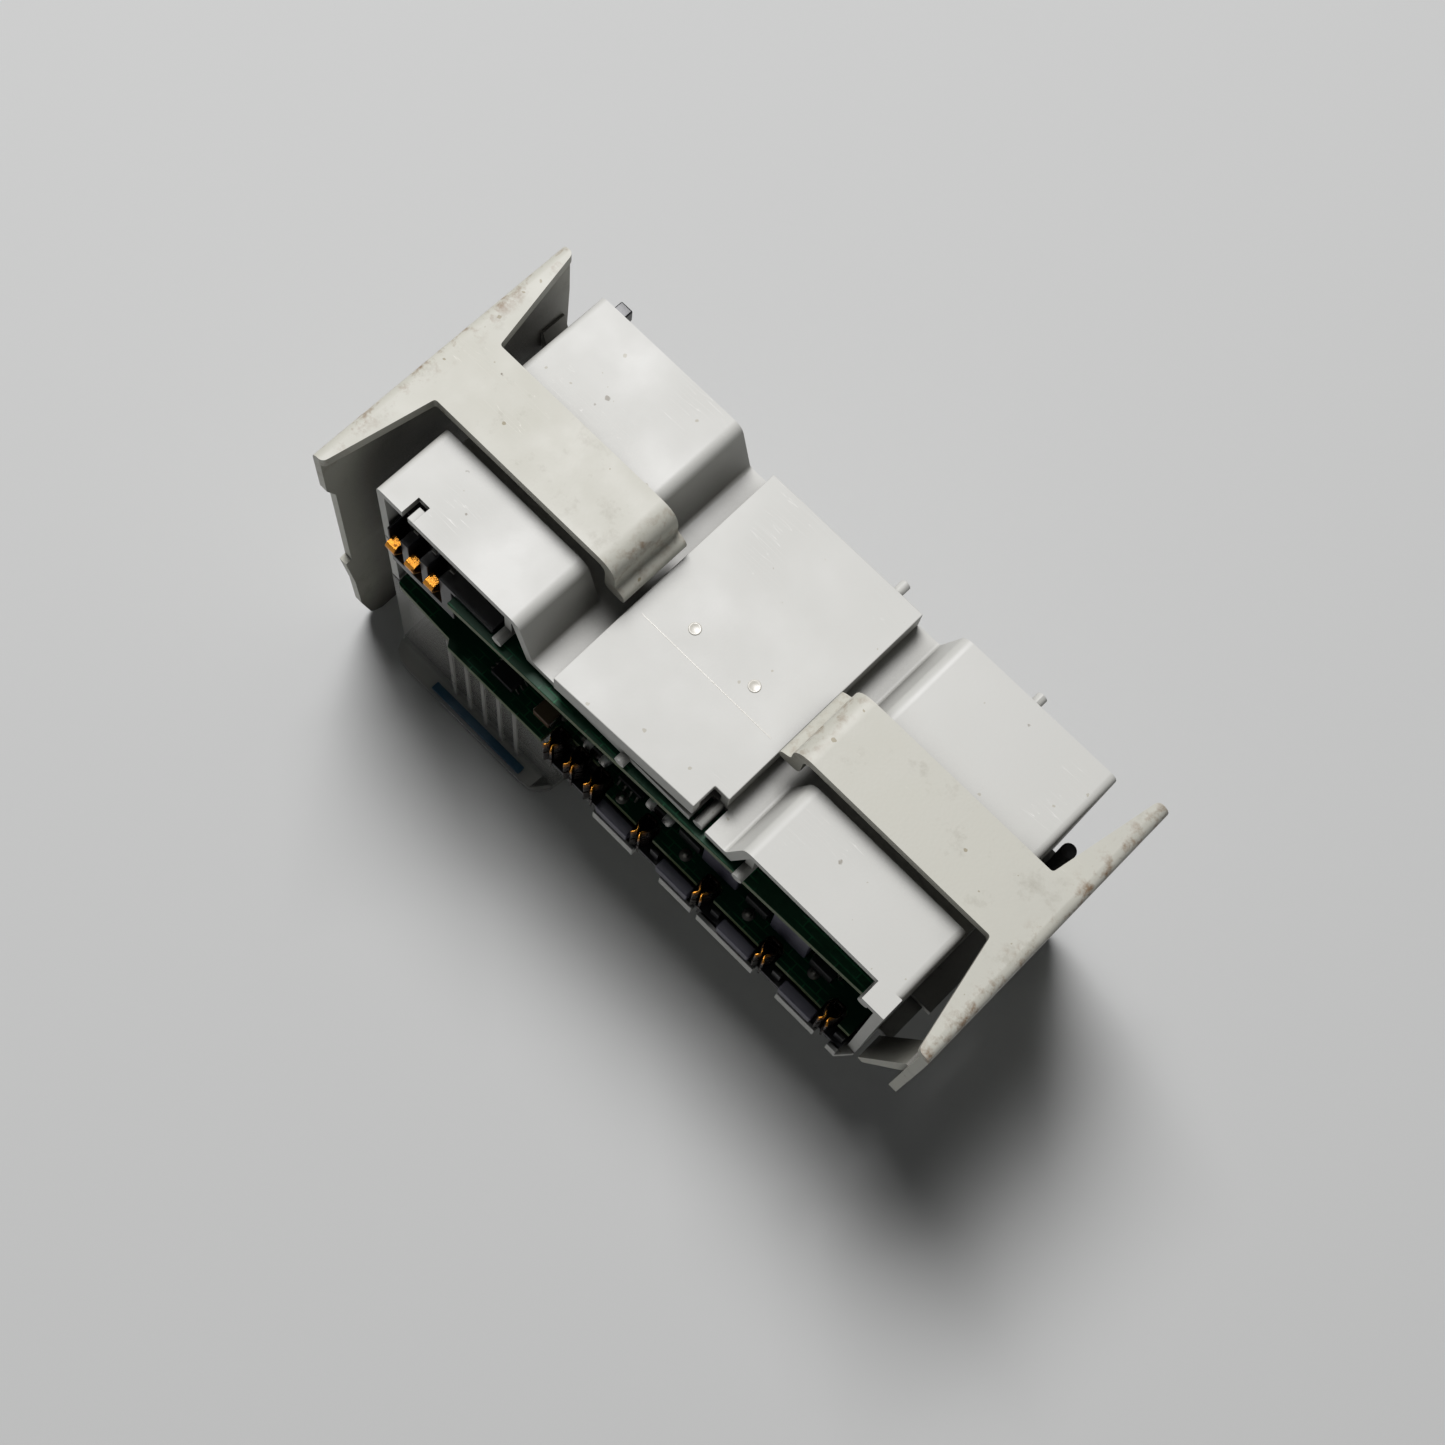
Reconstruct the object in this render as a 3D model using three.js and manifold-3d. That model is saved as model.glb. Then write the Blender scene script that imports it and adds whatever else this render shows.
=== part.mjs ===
// Electronics base of a residual current monitoring module for a 35 mm top-hat rail.
// Millimetres, +Z up. The rail side faces up and the front face stands on z = 0.
// X runs across the rail (latch to latch), Y runs along the rail (module to module).
import * as THREE from 'three';
import { mergeVertices } from 'three/addons/utils/BufferGeometryUtils.js';
import Module from 'manifold-3d';

const wasm = await Module();
wasm.setup();

// ---- driving dimensions ----
const HALF_LENGTH = 59.9;        // over the two latch end plates
const HALF_WIDTH = 24.4;         // four 12.2 mm pitches, side by side on the rail
const KEY_REACH = 2.2;           // how far the side pegs stand into the next module
const GAP = 0.4;                 // assembly gap between neighbouring pieces

const Z_LATCH = 67.8;            // top of the rail latches
const Z_BLOCK = 63.3;            // top of the cover's raised blocks
const Z_PAD = 58.4;              // rail seat
const Z_VALLEY = 54.0;           // cover floor between the blocks
const Z_SPLIT = 45.6;            // lower edge of the cover's left and far walls
const Z_UPPER_BOARD = 50.0;      // underside of the upper board
const Z_LOWER_BOARD = 30.4;      // underside of the lower board
const BOARD = 1.6;
const Z_FRONT = 24.0;            // front face of the terminal area
const Z_CLEAR_TOP = 29.7;        // rim of the clear front cover

const END_X = 51.65;             // cover end walls
const WALL = 1.6;
const NEAR_Y = -20.4;            // open side of the cover
const FAR_Y = HALF_WIDTH;
const BLOCK_TOP_X = 22.4;        // inner top edge of a raised block
const BLOCK_FOOT_X = 19.6;       // foot of its drafted inner wall
const CHANNEL = 6.9;             // half width of the channel under a latch arm
const PAD_X = 15.2;
const PAD_NEAR_Y = [-21.0, -19.9];  // the pad's near edge, left and right corner

const ARM = 6.3;                 // half width of a latch arm
const ARM_THICK = 2.0;
const PLATE = 1.5;               // latch end plate
const HOOK_X = 17.5;             // outermost line of a hook's bend at rest
const LIP_X = 15.5;              // tip of its lip, over the rail's edge
const BEND_R = 3.7;

const FORK_X = [-13.0, -8.6, -4.2, 6.0, 19.1, 32.2, 45.3];   // side contacts along the module
const FORK_NOTCH = 1.75;         // half width of the board's notch round a fork
const NOTCH_Y = -19.4;           // bottom of those notches
const BOARD_NEAR_Y = -21.8;      // lower board's edge between them
const BOARD_LEFT_Y = -23.0;      // and left of the first fork
const BUS_X = [-48.0, -43.9, -39.8];
const SOCKET_Y = [-15.4, -4.2, 7.0, 18.2];
const SOCKET_HALF = 3.1;
const SOCKET_X = [-9.0, 46.0];
const BUTTON = [-33.0, 2.0];

// ---- finishes ----
const finish = (color, roughness, metalness = 0, opacity = 1) =>
  new THREE.MeshStandardMaterial({ color, roughness, metalness, opacity, transparent: opacity < 1 });
const coverGrey = () => finish(0xe2e2de, 0.5);
const latchGrey = () => finish(0xd6d2c8, 0.5);
const boardGreen = () => finish(0x0f4a32, 0.35);
const contactGold = () => finish(0xd9963c, 0.3, 1);
const bladeTin = () => finish(0xb9b6ae, 0.35, 1);
const blackPlastic = () => finish(0x17181b, 0.45);
const darkGrey = () => finish(0x54545c, 0.45);
const copper = () => finish(0xa4562a, 0.35, 1);

// ---- shape helpers ----
// Outline with optional corner radii: points are [u, v] or [u, v, radius].
function outline(points) {
  const shape = new THREE.Shape();
  const at = (i) => new THREE.Vector2(...points[(i + points.length) % points.length].slice(0, 2));
  points.forEach((point, i) => {
    const corner = at(i);
    const radius = point[2] ?? 0;
    const entry = corner.clone().add(at(i - 1).sub(corner).setLength(radius));
    const exit = corner.clone().add(at(i + 1).sub(corner).setLength(radius));
    if (i === 0) shape.moveTo(entry.x, entry.y);
    else shape.lineTo(entry.x, entry.y);
    if (radius > 0) shape.quadraticCurveTo(corner.x, corner.y, exit.x, exit.y);
  });
  shape.closePath();
  return shape;
}

function extrude(points, depth, segments = 4) {
  const shape = Array.isArray(points) ? outline(points) : points;
  return new THREE.ExtrudeGeometry(shape, { depth, bevelEnabled: false, curveSegments: segments });
}

const prismZ = (points, z0, z1, segments) => extrude(points, z1 - z0, segments).translate(0, 0, z0);

const prismY = (points, y0, y1, segments) =>
  extrude(points, y1 - y0, segments).rotateX(Math.PI / 2).translate(0, y1, 0);

const Y_Z_X = new THREE.Matrix4().makeBasis(
  new THREE.Vector3(0, 1, 0), new THREE.Vector3(0, 0, 1), new THREE.Vector3(1, 0, 0));
const prismX = (points, x0, x1, segments) =>
  extrude(points, x1 - x0, segments).applyMatrix4(Y_Z_X).translate(x0, 0, 0);

function block(x0, x1, y0, y1, z0, z1) {
  return new THREE.BoxGeometry(x1 - x0, y1 - y0, z1 - z0)
    .translate((x0 + x1) / 2, (y0 + y1) / 2, (z0 + z1) / 2);
}

const post = (x, y, z0, z1, radius, sides = 16) =>
  new THREE.CylinderGeometry(radius, radius, z1 - z0, sides).rotateX(Math.PI / 2)
    .translate(x, y, (z0 + z1) / 2);

const pegAlongY = (x, z, y0, y1, radius, sides = 12) =>
  new THREE.CylinderGeometry(radius, radius, y1 - y0, sides).translate(x, (y0 + y1) / 2, z);

function ring(x, y, inner, outer, z0, z1, sides = 28) {
  const profile = [[inner, 0], [outer, 0], [outer, z1 - z0], [inner, z1 - z0], [inner, 0]];
  const points = profile.map(([r, h]) => new THREE.Vector2(r, h));
  return new THREE.LatheGeometry(points, sides).rotateX(Math.PI / 2).translate(x, y, z0);
}

// ---- joining and cutting ----
function toSolid(geometry) {
  const bare = geometry.clone();
  bare.deleteAttribute('normal');
  bare.deleteAttribute('uv');
  const merged = mergeVertices(bare, 1e-4);
  return new wasm.Manifold(new wasm.Mesh({
    numProp: 3,
    vertProperties: new Float32Array(merged.attributes.position.array),
    triVerts: new Uint32Array(merged.index.array),
  }));
}

function toGeometry(solid) {
  const mesh = solid.getMesh();
  const geometry = new THREE.BufferGeometry();
  geometry.setAttribute('position', new THREE.BufferAttribute(new Float32Array(mesh.vertProperties), 3));
  geometry.setIndex(new THREE.BufferAttribute(new Uint32Array(mesh.triVerts), 1));
  geometry.computeVertexNormals();
  return geometry;
}

const join = (...pieces) => toGeometry(pieces.map(toSolid).reduce((sum, piece) => sum.add(piece)));
const cut = (base, ...tools) =>
  toGeometry(tools.map(toSolid).reduce((rest, tool) => rest.subtract(tool), toSolid(base)));

// ---- scene graph ----
const object = new THREE.Group();
const housing = new THREE.Group();
const leftLatch = new THREE.Group();
const rightLatch = new THREE.Group();
object.add(housing, leftLatch, rightLatch);
object.position.y = -KEY_REACH / 2;      // centres the outer box on the origin

function piece(name, geometry, material, group = housing) {
  const mesh = new THREE.Mesh(geometry, material);
  mesh.name = name;
  group.add(mesh);
}

// ---- rail-side cover: one moulded shell with two raised blocks and a valley ----
const blockSection = (side) => [
  [side * END_X, Z_VALLEY - WALL],
  [side * END_X, Z_BLOCK, 1.4],
  [side * BLOCK_TOP_X, Z_BLOCK, 1.6],
  [side * BLOCK_FOOT_X, Z_VALLEY],
  [side * BLOCK_FOOT_X, Z_VALLEY - WALL],
];

function coverOutline(leftFoot, rightFoot) {
  return [
    [-END_X, leftFoot], [-END_X, Z_BLOCK, 1.4],
    [-BLOCK_TOP_X, Z_BLOCK, 1.6], [-BLOCK_FOOT_X, Z_VALLEY, 0.6],
    [BLOCK_FOOT_X, Z_VALLEY, 0.6], [BLOCK_TOP_X, Z_BLOCK, 1.6],
    [END_X, Z_BLOCK, 1.4], [END_X, rightFoot],
  ];
}

const RIGHT_FOOT = 33.0;         // lower edge of the cover's right end wall
const coverHollow = [
  [END_X - WALL, RIGHT_FOOT], [END_X - WALL, Z_BLOCK - WALL],
  [BLOCK_TOP_X + 1.2, Z_BLOCK - WALL], [BLOCK_FOOT_X + 1.2, Z_VALLEY - WALL],
  [-BLOCK_FOOT_X - 1.2, Z_VALLEY - WALL], [-BLOCK_TOP_X - 1.2, Z_BLOCK - WALL],
  [-END_X + WALL, Z_BLOCK - WALL], [-END_X + WALL, Z_SPLIT],
];
const coverSkin = prismY([...coverOutline(Z_SPLIT, RIGHT_FOOT), ...coverHollow], NEAR_Y, FAR_Y);
const coverFarWall = prismY(coverOutline(Z_SPLIT + GAP, Z_SPLIT + GAP), FAR_Y - WALL, FAR_Y);

function channelWalls(side) {
  const [inner, outer] = [side * BLOCK_FOOT_X, side * END_X].sort((a, b) => a - b);
  return [
    prismY(blockSection(side), CHANNEL, CHANNEL + WALL),
    prismY(blockSection(side), -CHANNEL - WALL, -CHANNEL),
    block(inner, outer, -CHANNEL - WALL, CHANNEL + WALL, Z_VALLEY - WALL, Z_VALLEY),
  ];
}

const PEG_Z = 53.0;
const RIB_PEG_X = [-25.7, 23.2, 47.9];
const pegRibs = RIB_PEG_X.flatMap((x) => [
  block(x - 0.7, x + 0.7, NEAR_Y + 1.0, NEAR_Y + 5.4, PEG_Z - 0.8, Z_BLOCK - 1.0),
  pegAlongY(x, PEG_Z, NEAR_Y - 1.4, NEAR_Y + 3.0, 0.95),
]);
const NOTCH = [12.4, PAD_X + 0.3];       // corner notch in pad and cover, along X
const SLOT_X = [-46.2, -43.9];           // snap slot in the left block's near edge
const SLOT_DEPTH = 3.3;
const NOTCH_DEEP_Y = -15.7;
const freePegs = [
  pegAlongY(-0.4, PEG_Z, NEAR_Y - 1.4, NEAR_Y + 2.0, 0.95),
  pegAlongY(13.9, PEG_Z, NEAR_Y + 0.2, NOTCH_DEEP_Y + 1.0, 0.95),
  pegAlongY(35.9, Z_BLOCK - 2.4, FAR_Y - 1.0, FAR_Y + KEY_REACH, 0.9),
];
const endFlange = [
  [-23.7, Z_BLOCK], [NEAR_Y + 0.4, Z_BLOCK], [NEAR_Y + 0.4, RIGHT_FOOT],
  [-22.0, RIGHT_FOOT], [-23.7, Z_BLOCK - 3],
];
const cornerTab = [
  prismX(endFlange, END_X - WALL, END_X),
  block(47.6, END_X - 0.4, -23.7, NEAR_Y + 0.4, Z_BLOCK - WALL, Z_BLOCK),
];

const channelCut = (side) => {
  const [x0, x1] = [side * (BLOCK_FOOT_X - 0.5), side * (END_X + 1)].sort((a, b) => a - b);
  return block(x0, x1, -CHANNEL, CHANNEL, Z_VALLEY, Z_BLOCK + 1);
};
const coverBody = join(coverSkin, coverFarWall, ...channelWalls(-1), ...channelWalls(1),
  ...pegRibs, ...cornerTab);
const coverCut = cut(coverBody, channelCut(-1), channelCut(1),
  block(NOTCH[0], NOTCH[1], NEAR_Y - 1, NOTCH_DEEP_Y, Z_VALLEY - WALL - 1, Z_VALLEY + 1),
  block(SLOT_X[0], SLOT_X[1], NEAR_Y - 1, NEAR_Y + SLOT_DEPTH, Z_BLOCK - WALL - 1, Z_BLOCK + 1));
piece('rail_side_cover', join(coverCut, ...freePegs), coverGrey());

// ---- rail pad: hollow raised plate that the rail's back rests on ----
const PAD_FOOT = Z_VALLEY + GAP;
const padPlan = [
  [-PAD_X + 0.5, PAD_NEAR_Y[0]], [PAD_X, PAD_NEAR_Y[1]], [PAD_X, FAR_Y - 0.1], [-PAD_X, FAR_Y - 0.1],
];
const padShell = cut(
  prismZ(padPlan, PAD_FOOT, Z_PAD),
  block(-PAD_X + 2, PAD_X - 1.5, PAD_NEAR_Y[1] + 1.5, FAR_Y - 1.6, PAD_FOOT - 1, Z_PAD - 1.5),
  block(NOTCH[0], PAD_X + 1, PAD_NEAR_Y[0] - 1, NOTCH_DEEP_Y, PAD_FOOT - 1, Z_PAD + 1));
piece('rail_pad', join(padShell, pegAlongY(10.0, Z_PAD - 1.5, FAR_Y - 1.0, FAR_Y + KEY_REACH, 0.9)),
  coverGrey());

// ---- front housing: terminal plate, far wall and end walls ----
const HOUSING_LEFT = -14.4;
const PLATE_TOP = Z_FRONT + 1.4;
const SOCKET_TOP = 28.3;
const socketFloor = SOCKET_Y.map((y) =>
  block(SOCKET_X[0], SOCKET_X[1], y - SOCKET_HALF, y + SOCKET_HALF, Z_FRONT - 1, SOCKET_TOP + 1));
const LIP_TOP = 27.0;
const LIP_SPANS = [[-2.6, 6.0], [12.0, 18.8], [20.1, 32.0], [37.1, 45.1], [47.8, 49.6]];
const nearLip = LIP_SPANS.map(([x0, x1]) => block(x0, x1, -24.2, -23.6, PLATE_TOP - 0.5, LIP_TOP));
const betweenLips = [[HOUSING_LEFT - 1, -2.6], [6.0, 12.0], [18.8, 20.1], [32.0, 37.1], [45.1, 47.8]];
const lipBreaks = betweenLips.map(([x0, x1]) => block(x0, x1, -25, -22.9, Z_FRONT - 1, LIP_TOP + 1));
const cornerChamfer = prismZ(
  [[END_X - 2.0, -24.3], [END_X - 2.0, -25], [END_X + 1, -25], [END_X + 1, -21.9], [END_X + 0.1, -21.9]],
  Z_FRONT - 1, LIP_TOP + 1);
const LEDGE_TOP = RIGHT_FOOT - GAP;
const latchLedge = [
  block(END_X - 0.5, 55.6, -10.9, 21.0, LEDGE_TOP - 1.6, LEDGE_TOP),
  block(END_X - 0.5, 54.2, -17.8, -10.4, LEDGE_TOP - 2.8, LEDGE_TOP - 1.2),
];
const bladeSlots = FORK_X.map((x) => block(x - 0.8, x + 0.8, FAR_Y - WALL - 1, FAR_Y + 1, 27.2, 35.6));
const housingBody = join(
  block(HOUSING_LEFT, END_X, -24.2, FAR_Y, Z_FRONT, PLATE_TOP),
  block(HOUSING_LEFT, END_X - 1, NOTCH_Y, FAR_Y - 1, PLATE_TOP - 0.5, SOCKET_TOP),
  block(HOUSING_LEFT, END_X, FAR_Y - WALL, FAR_Y, Z_FRONT, Z_SPLIT),
  block(-END_X, HOUSING_LEFT + 1, FAR_Y - WALL, FAR_Y, Z_CLEAR_TOP + GAP, Z_SPLIT),
  block(-END_X, -END_X + WALL, NEAR_Y, FAR_Y - 1, Z_CLEAR_TOP + GAP, Z_SPLIT - GAP),
  block(END_X - WALL, END_X, -21.8, FAR_Y, Z_FRONT, LEDGE_TOP),
  ...nearLip, ...latchLedge);
const coverEndRoom = block(END_X - WALL - GAP, END_X + 1, -23, FAR_Y + 1, LEDGE_TOP, Z_SPLIT + 1);
const latchGuidePin = post(53.6, 18.2, LEDGE_TOP - 0.5, 45.0, 1.25);
piece('front_housing', join(
  cut(housingBody, ...socketFloor, ...bladeSlots, ...lipBreaks, cornerChamfer, coverEndRoom),
  latchGuidePin), coverGrey());

// ---- clear front cover with outside ribs, a foot flange and the test button's hole ----
const CLEAR_X = [-51.6, -15.0];
const CLEAR_NEAR_Y = -20.5;
const FLANGE_Y = -24.2;
const CLEAR_FLOOR = 1.6;
const RIB_X = [-38.0, -34.3, -30.6, -26.9, -23.2];
const clearRibs = RIB_X.map((x) =>
  block(x - 0.4, x + 0.4, CLEAR_NEAR_Y - 1.0, CLEAR_NEAR_Y + 0.5, CLEAR_FLOOR - 0.5, 28));
const FOOT_X = [CLEAR_X[0] - 0.2, CLEAR_X[1] + 0.2];
const clearBox = join(
  prismZ([[FOOT_X[0], FLANGE_Y, 5], [FOOT_X[1], FLANGE_Y, 5], [FOOT_X[1], FAR_Y], [FOOT_X[0], FAR_Y]],
    0, CLEAR_FLOOR),
  block(CLEAR_X[0], CLEAR_X[1], CLEAR_NEAR_Y, 24.1, CLEAR_FLOOR - 0.5, Z_CLEAR_TOP),
  ...clearRibs);
piece('clear_front_cover', cut(clearBox,
  block(CLEAR_X[0] + 1.3, CLEAR_X[1] - 1.3, CLEAR_NEAR_Y + 1.3, 22.8, CLEAR_FLOOR, Z_CLEAR_TOP + 1),
  post(BUTTON[0], BUTTON[1], -1, CLEAR_FLOOR + 1, 3.4, 20)), finish(0xc9ccca, 0.15, 0, 0.45));

piece('blue_marking_strip',
  block(-41.4, -20.4, -23.7, -22.2, CLEAR_FLOOR + 0.3, CLEAR_FLOOR + 0.9), finish(0x2d6f9e, 0.4));

// ---- rail latch: end plate with one long barbed leg, wings, arm and hook ----
// Drawn as the left latch; the right one is the same moulding turned half round.
const LEG_FOOT = 0.6;
const PLATE_FOOT = 33.0;
const endPlate = [
  [-HALF_WIDTH, Z_LATCH], [-HALF_WIDTH, 56.5], [-23.1, 53.4], [-23.1, 28.4], [-24.3, 28.0],
  [-23.4, 18.6], [-23.2, 9.0], [-21.7, 2.2, 1], [-19.5, LEG_FOOT], [-9.0, LEG_FOOT, 1],
  [-9.0, PLATE_FOOT, 4], [23.4, PLATE_FOOT, 1.5], [HALF_WIDTH, 56.5], [HALF_WIDTH, Z_LATCH],
];
const plateX = [-HALF_LENGTH, -HALF_LENGTH + PLATE];
const TIP = 2.2;                 // width of a wing's tip
const wings = [
  [-HALF_LENGTH, -HALF_WIDTH], [-HALF_LENGTH + TIP, -HALF_WIDTH, 0.9], [-54.1, -ARM, 0.5], [-50.0, -ARM],
  [-50.0, ARM], [-54.1, ARM, 0.5], [-HALF_LENGTH + TIP, HALF_WIDTH, 0.9], [-HALF_LENGTH, HALF_WIDTH],
];
const EDGE_R = 1.7;              // rounding of the long outer edge
const outerEdge = [
  [-HALF_LENGTH - 1, Z_LATCH - EDGE_R - 0.1], [-HALF_LENGTH, Z_LATCH - EDGE_R - 0.1],
  [-HALF_LENGTH, Z_LATCH, EDGE_R], [-HALF_LENGTH + EDGE_R + 0.1, Z_LATCH],
  [-HALF_LENGTH + EDGE_R + 0.1, Z_LATCH + 1], [-HALF_LENGTH - 1, Z_LATCH + 1],
];
const armSection = [
  [-55.0, Z_LATCH], [-HOOK_X, Z_LATCH, BEND_R], [-HOOK_X, 62.6, 0.6], [-LIP_X, 61.5, 0.8],
  [-LIP_X, 59.7, 0.7], [-HOOK_X - ARM_THICK, 59.7, 1.6],
  [-HOOK_X - ARM_THICK, Z_LATCH - ARM_THICK, BEND_R - ARM_THICK], [-55.0, Z_LATCH - ARM_THICK],
];
const tongue = [
  [plateX[1] - 0.5, 50.5], [plateX[1] - 0.5, 47.6], [-53.4, 30.0, 0.4], [-52.4, 30.4, 0.4],
  [plateX[1] + 0.4, 50.5],
];
const latchGeometry = cut(join(
  prismX(endPlate, plateX[0], plateX[1]),
  prismZ(wings, Z_LATCH - ARM_THICK, Z_LATCH),
  prismY(armSection, -ARM, ARM, 6),
  prismY(tongue, 18.4, 23.0),
  block(plateX[1] - 0.5, -54.4, -0.8, 0.8, Z_LATCH - 9, Z_LATCH - 0.5),
), prismY(outerEdge, -HALF_WIDTH - 1, HALF_WIDTH + 1));
piece('left_rail_latch', latchGeometry, latchGrey(), leftLatch);
piece('right_rail_latch', latchGeometry, latchGrey(), rightLatch);
rightLatch.rotation.z = Math.PI;

// ---- printed circuit boards ----
const upperOutline = [
  [-49.4, 22.2], [-49.4, -13.6], [-35.4, -13.6], [-35.4, -22.6], [48.2, -20.4], [48.2, 22.2],
];
piece('upper_board', prismZ(upperOutline, Z_UPPER_BOARD, Z_UPPER_BOARD + BOARD), boardGreen());

const singleNotches = FORK_X.slice(3).flatMap((x) => [
  [x - FORK_NOTCH, BOARD_NEAR_Y], [x - FORK_NOTCH, NOTCH_Y, 1.0],
  [x + FORK_NOTCH, NOTCH_Y, 1.0], [x + FORK_NOTCH, BOARD_NEAR_Y],
]);
const lowerOutline = [
  [-49.4, 22.2], [-49.4, -21.4, 1], [-37.0, -21.9], [-36.2, BOARD_LEFT_Y],
  [FORK_X[0] - 2.3, BOARD_LEFT_Y], [FORK_X[0] - 2.3, NOTCH_Y, 1.0],
  [FORK_X[2] + FORK_NOTCH, NOTCH_Y, 1.0], [FORK_X[2] + FORK_NOTCH, BOARD_NEAR_Y],
  ...singleNotches, [49.4, BOARD_NEAR_Y], [49.4, 22.2],
];
piece('lower_board', prismZ(lowerOutline, Z_LOWER_BOARD, Z_LOWER_BOARD + BOARD), boardGreen());

// ---- side contacts: forks on the open side, blades on the far side ----
const forkPlan = [
  [-1.3, -19.9], [-1.3, -22.4], [-0.95, -24.1], [-0.4, -24.1], [-0.6, -22.6], [-0.4, -21.4],
  [0.4, -21.4], [0.6, -22.6], [0.4, -24.1], [0.95, -24.1], [1.3, -22.4], [1.3, -19.9],
];
const bladeSide = [
  [18.6, 32.4], [22.6, 32.4], [22.6, 28.2], [26.2, 28.2, 0.6], [26.2, 34.6, 0.6], [18.6, 34.6],
];
FORK_X.forEach((x, i) => {
  piece(`fork_contact_${i + 1}`, prismZ(forkPlan, 27.4, 35.4).translate(x, 0, 0), contactGold());
  piece(`blade_contact_${i + 1}`, prismX(bladeSide, x - 0.4, x + 0.4), bladeTin());
});
FORK_X.slice(3).forEach((x, i) => {
  piece(`contact_housing_${i + 1}`, block(x - 8.4, x - 1.7, -24.0, -22.1, LIP_TOP + 0.3, 30.0), darkGrey());
});
const carrierPosts = FORK_X.slice(3).map((x) => block(x + 2.2, x + 3.9, -22.6, -21.9, LIP_TOP - 1, 29.8));
piece('contact_carrier', join(
  block(HOUSING_LEFT + 0.6, END_X - WALL - GAP, -23.3, NOTCH_Y - 0.3, PLATE_TOP + 0.3, LIP_TOP),
  ...carrierPosts), blackPlastic());

// ---- bus contacts: three sprung strips in a black carrier ----
const carrierGrooves = BUS_X.map((x) => block(x - 1.2, x + 1.2, -22, -17.4, 43.0, 54));
piece('bus_contact_carrier', join(
  cut(block(-49.6, -36.0, -21.2, -14.2, 41.0, 53.2), ...carrierGrooves),
  block(-36.5, -27.2, -21.2, -15.0, Z_UPPER_BOARD + BOARD + GAP, 53.2)), blackPlastic());
const springStrip = [
  [-19.2, 43.6], [-18.7, 43.6], [-18.7, 45.0], [-22.0, 49.0, 0.5], [-21.9, 50.2, 0.5], [-18.9, 51.4],
  [-19.1, 52.0], [-22.4, 50.7, 0.7], [-22.6, 48.8, 0.7], [-19.2, 44.6],
];
BUS_X.forEach((x, i) => {
  piece(`bus_contact_${i + 1}`, prismX(springStrip, x - 0.9, x + 0.9, 3), contactGold());
});
piece('bus_key_peg', block(-49.6, -47.2, FAR_Y + 0.3, FAR_Y + KEY_REACH, Z_BLOCK - 4.4, Z_BLOCK - 1.6),
  blackPlastic());

// ---- parts on the lower board ----
const ON_BOARD = Z_LOWER_BOARD + BOARD + GAP;
const chip = (name, x, y, width, depth, height, material = blackPlastic()) =>
  piece(name, block(x - width / 2, x + width / 2, y - depth / 2, y + depth / 2, ON_BOARD, ON_BOARD + height),
    material);
chip('interface_chip_1', -26.0, -19.4, 4.6, 3.6, 1.4);
chip('interface_chip_2', -0.2, -17.0, 5.0, 3.8, 1.4);
chip('microcontroller', -30.0, -5.0, 10.0, 10.0, 1.6);
chip('tantalum_capacitor', -17.4, -19.8, 3.4, 2.6, 2.0, finish(0x8a6a4a, 0.5));
[12.2, 26.4, 39.8].forEach((x, i) => chip(`optocoupler_${i + 1}`, x, -15.4, 4.4, 6.4, 3.4));
[18.6, 33.0].forEach((x, i) => chip(`relay_${i + 1}`, x, -13.6, 7.2, 10.0, 10.4, darkGrey()));
[-7.5, 5.8].forEach((x, i) => {
  const glassBody = new THREE.CylinderGeometry(1.0, 1.0, 4.8, 12).rotateZ(Math.PI / 2);
  piece(`melf_resistor_${i + 1}`, glassBody.translate(x, -18.3 + i * 0.3, ON_BOARD + 1.0),
    finish(0x2a2422, 0.3));
});
[-1.0, 9.0].forEach((y, i) => {
  piece(`electrolytic_capacitor_${i + 1}`, post(43.5, y, ON_BOARD, ON_BOARD + 11.5, 4.0, 20),
    finish(0x2b2f3a, 0.35));
});
piece('board_link_header', block(-42.0, -20.0, 12.0, 16.6, ON_BOARD, Z_UPPER_BOARD - GAP), blackPlastic());

// ---- summation transformer: cased ring core with its winding ----
const CORE = { x: 1.5, y: 4.0, inner: 6.5, outer: 10.5, z0: 34.2, z1: 41.2 };
const COIL = 1.3;
piece('summation_transformer_core', ring(CORE.x, CORE.y, CORE.inner, CORE.outer, CORE.z0, CORE.z1),
  blackPlastic());
piece('summation_transformer_winding', cut(
  ring(CORE.x, CORE.y, CORE.inner - COIL, CORE.outer + COIL, CORE.z0 - COIL, CORE.z1 + COIL),
  ring(CORE.x, CORE.y, CORE.inner - 0.3, CORE.outer + 0.3, CORE.z0 - 0.3, CORE.z1 + 0.3),
  block(CORE.x - 3.5, CORE.x + 3.5, CORE.y - 14, CORE.y, CORE.z0 - 3, CORE.z1 + 3)), copper());

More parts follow.
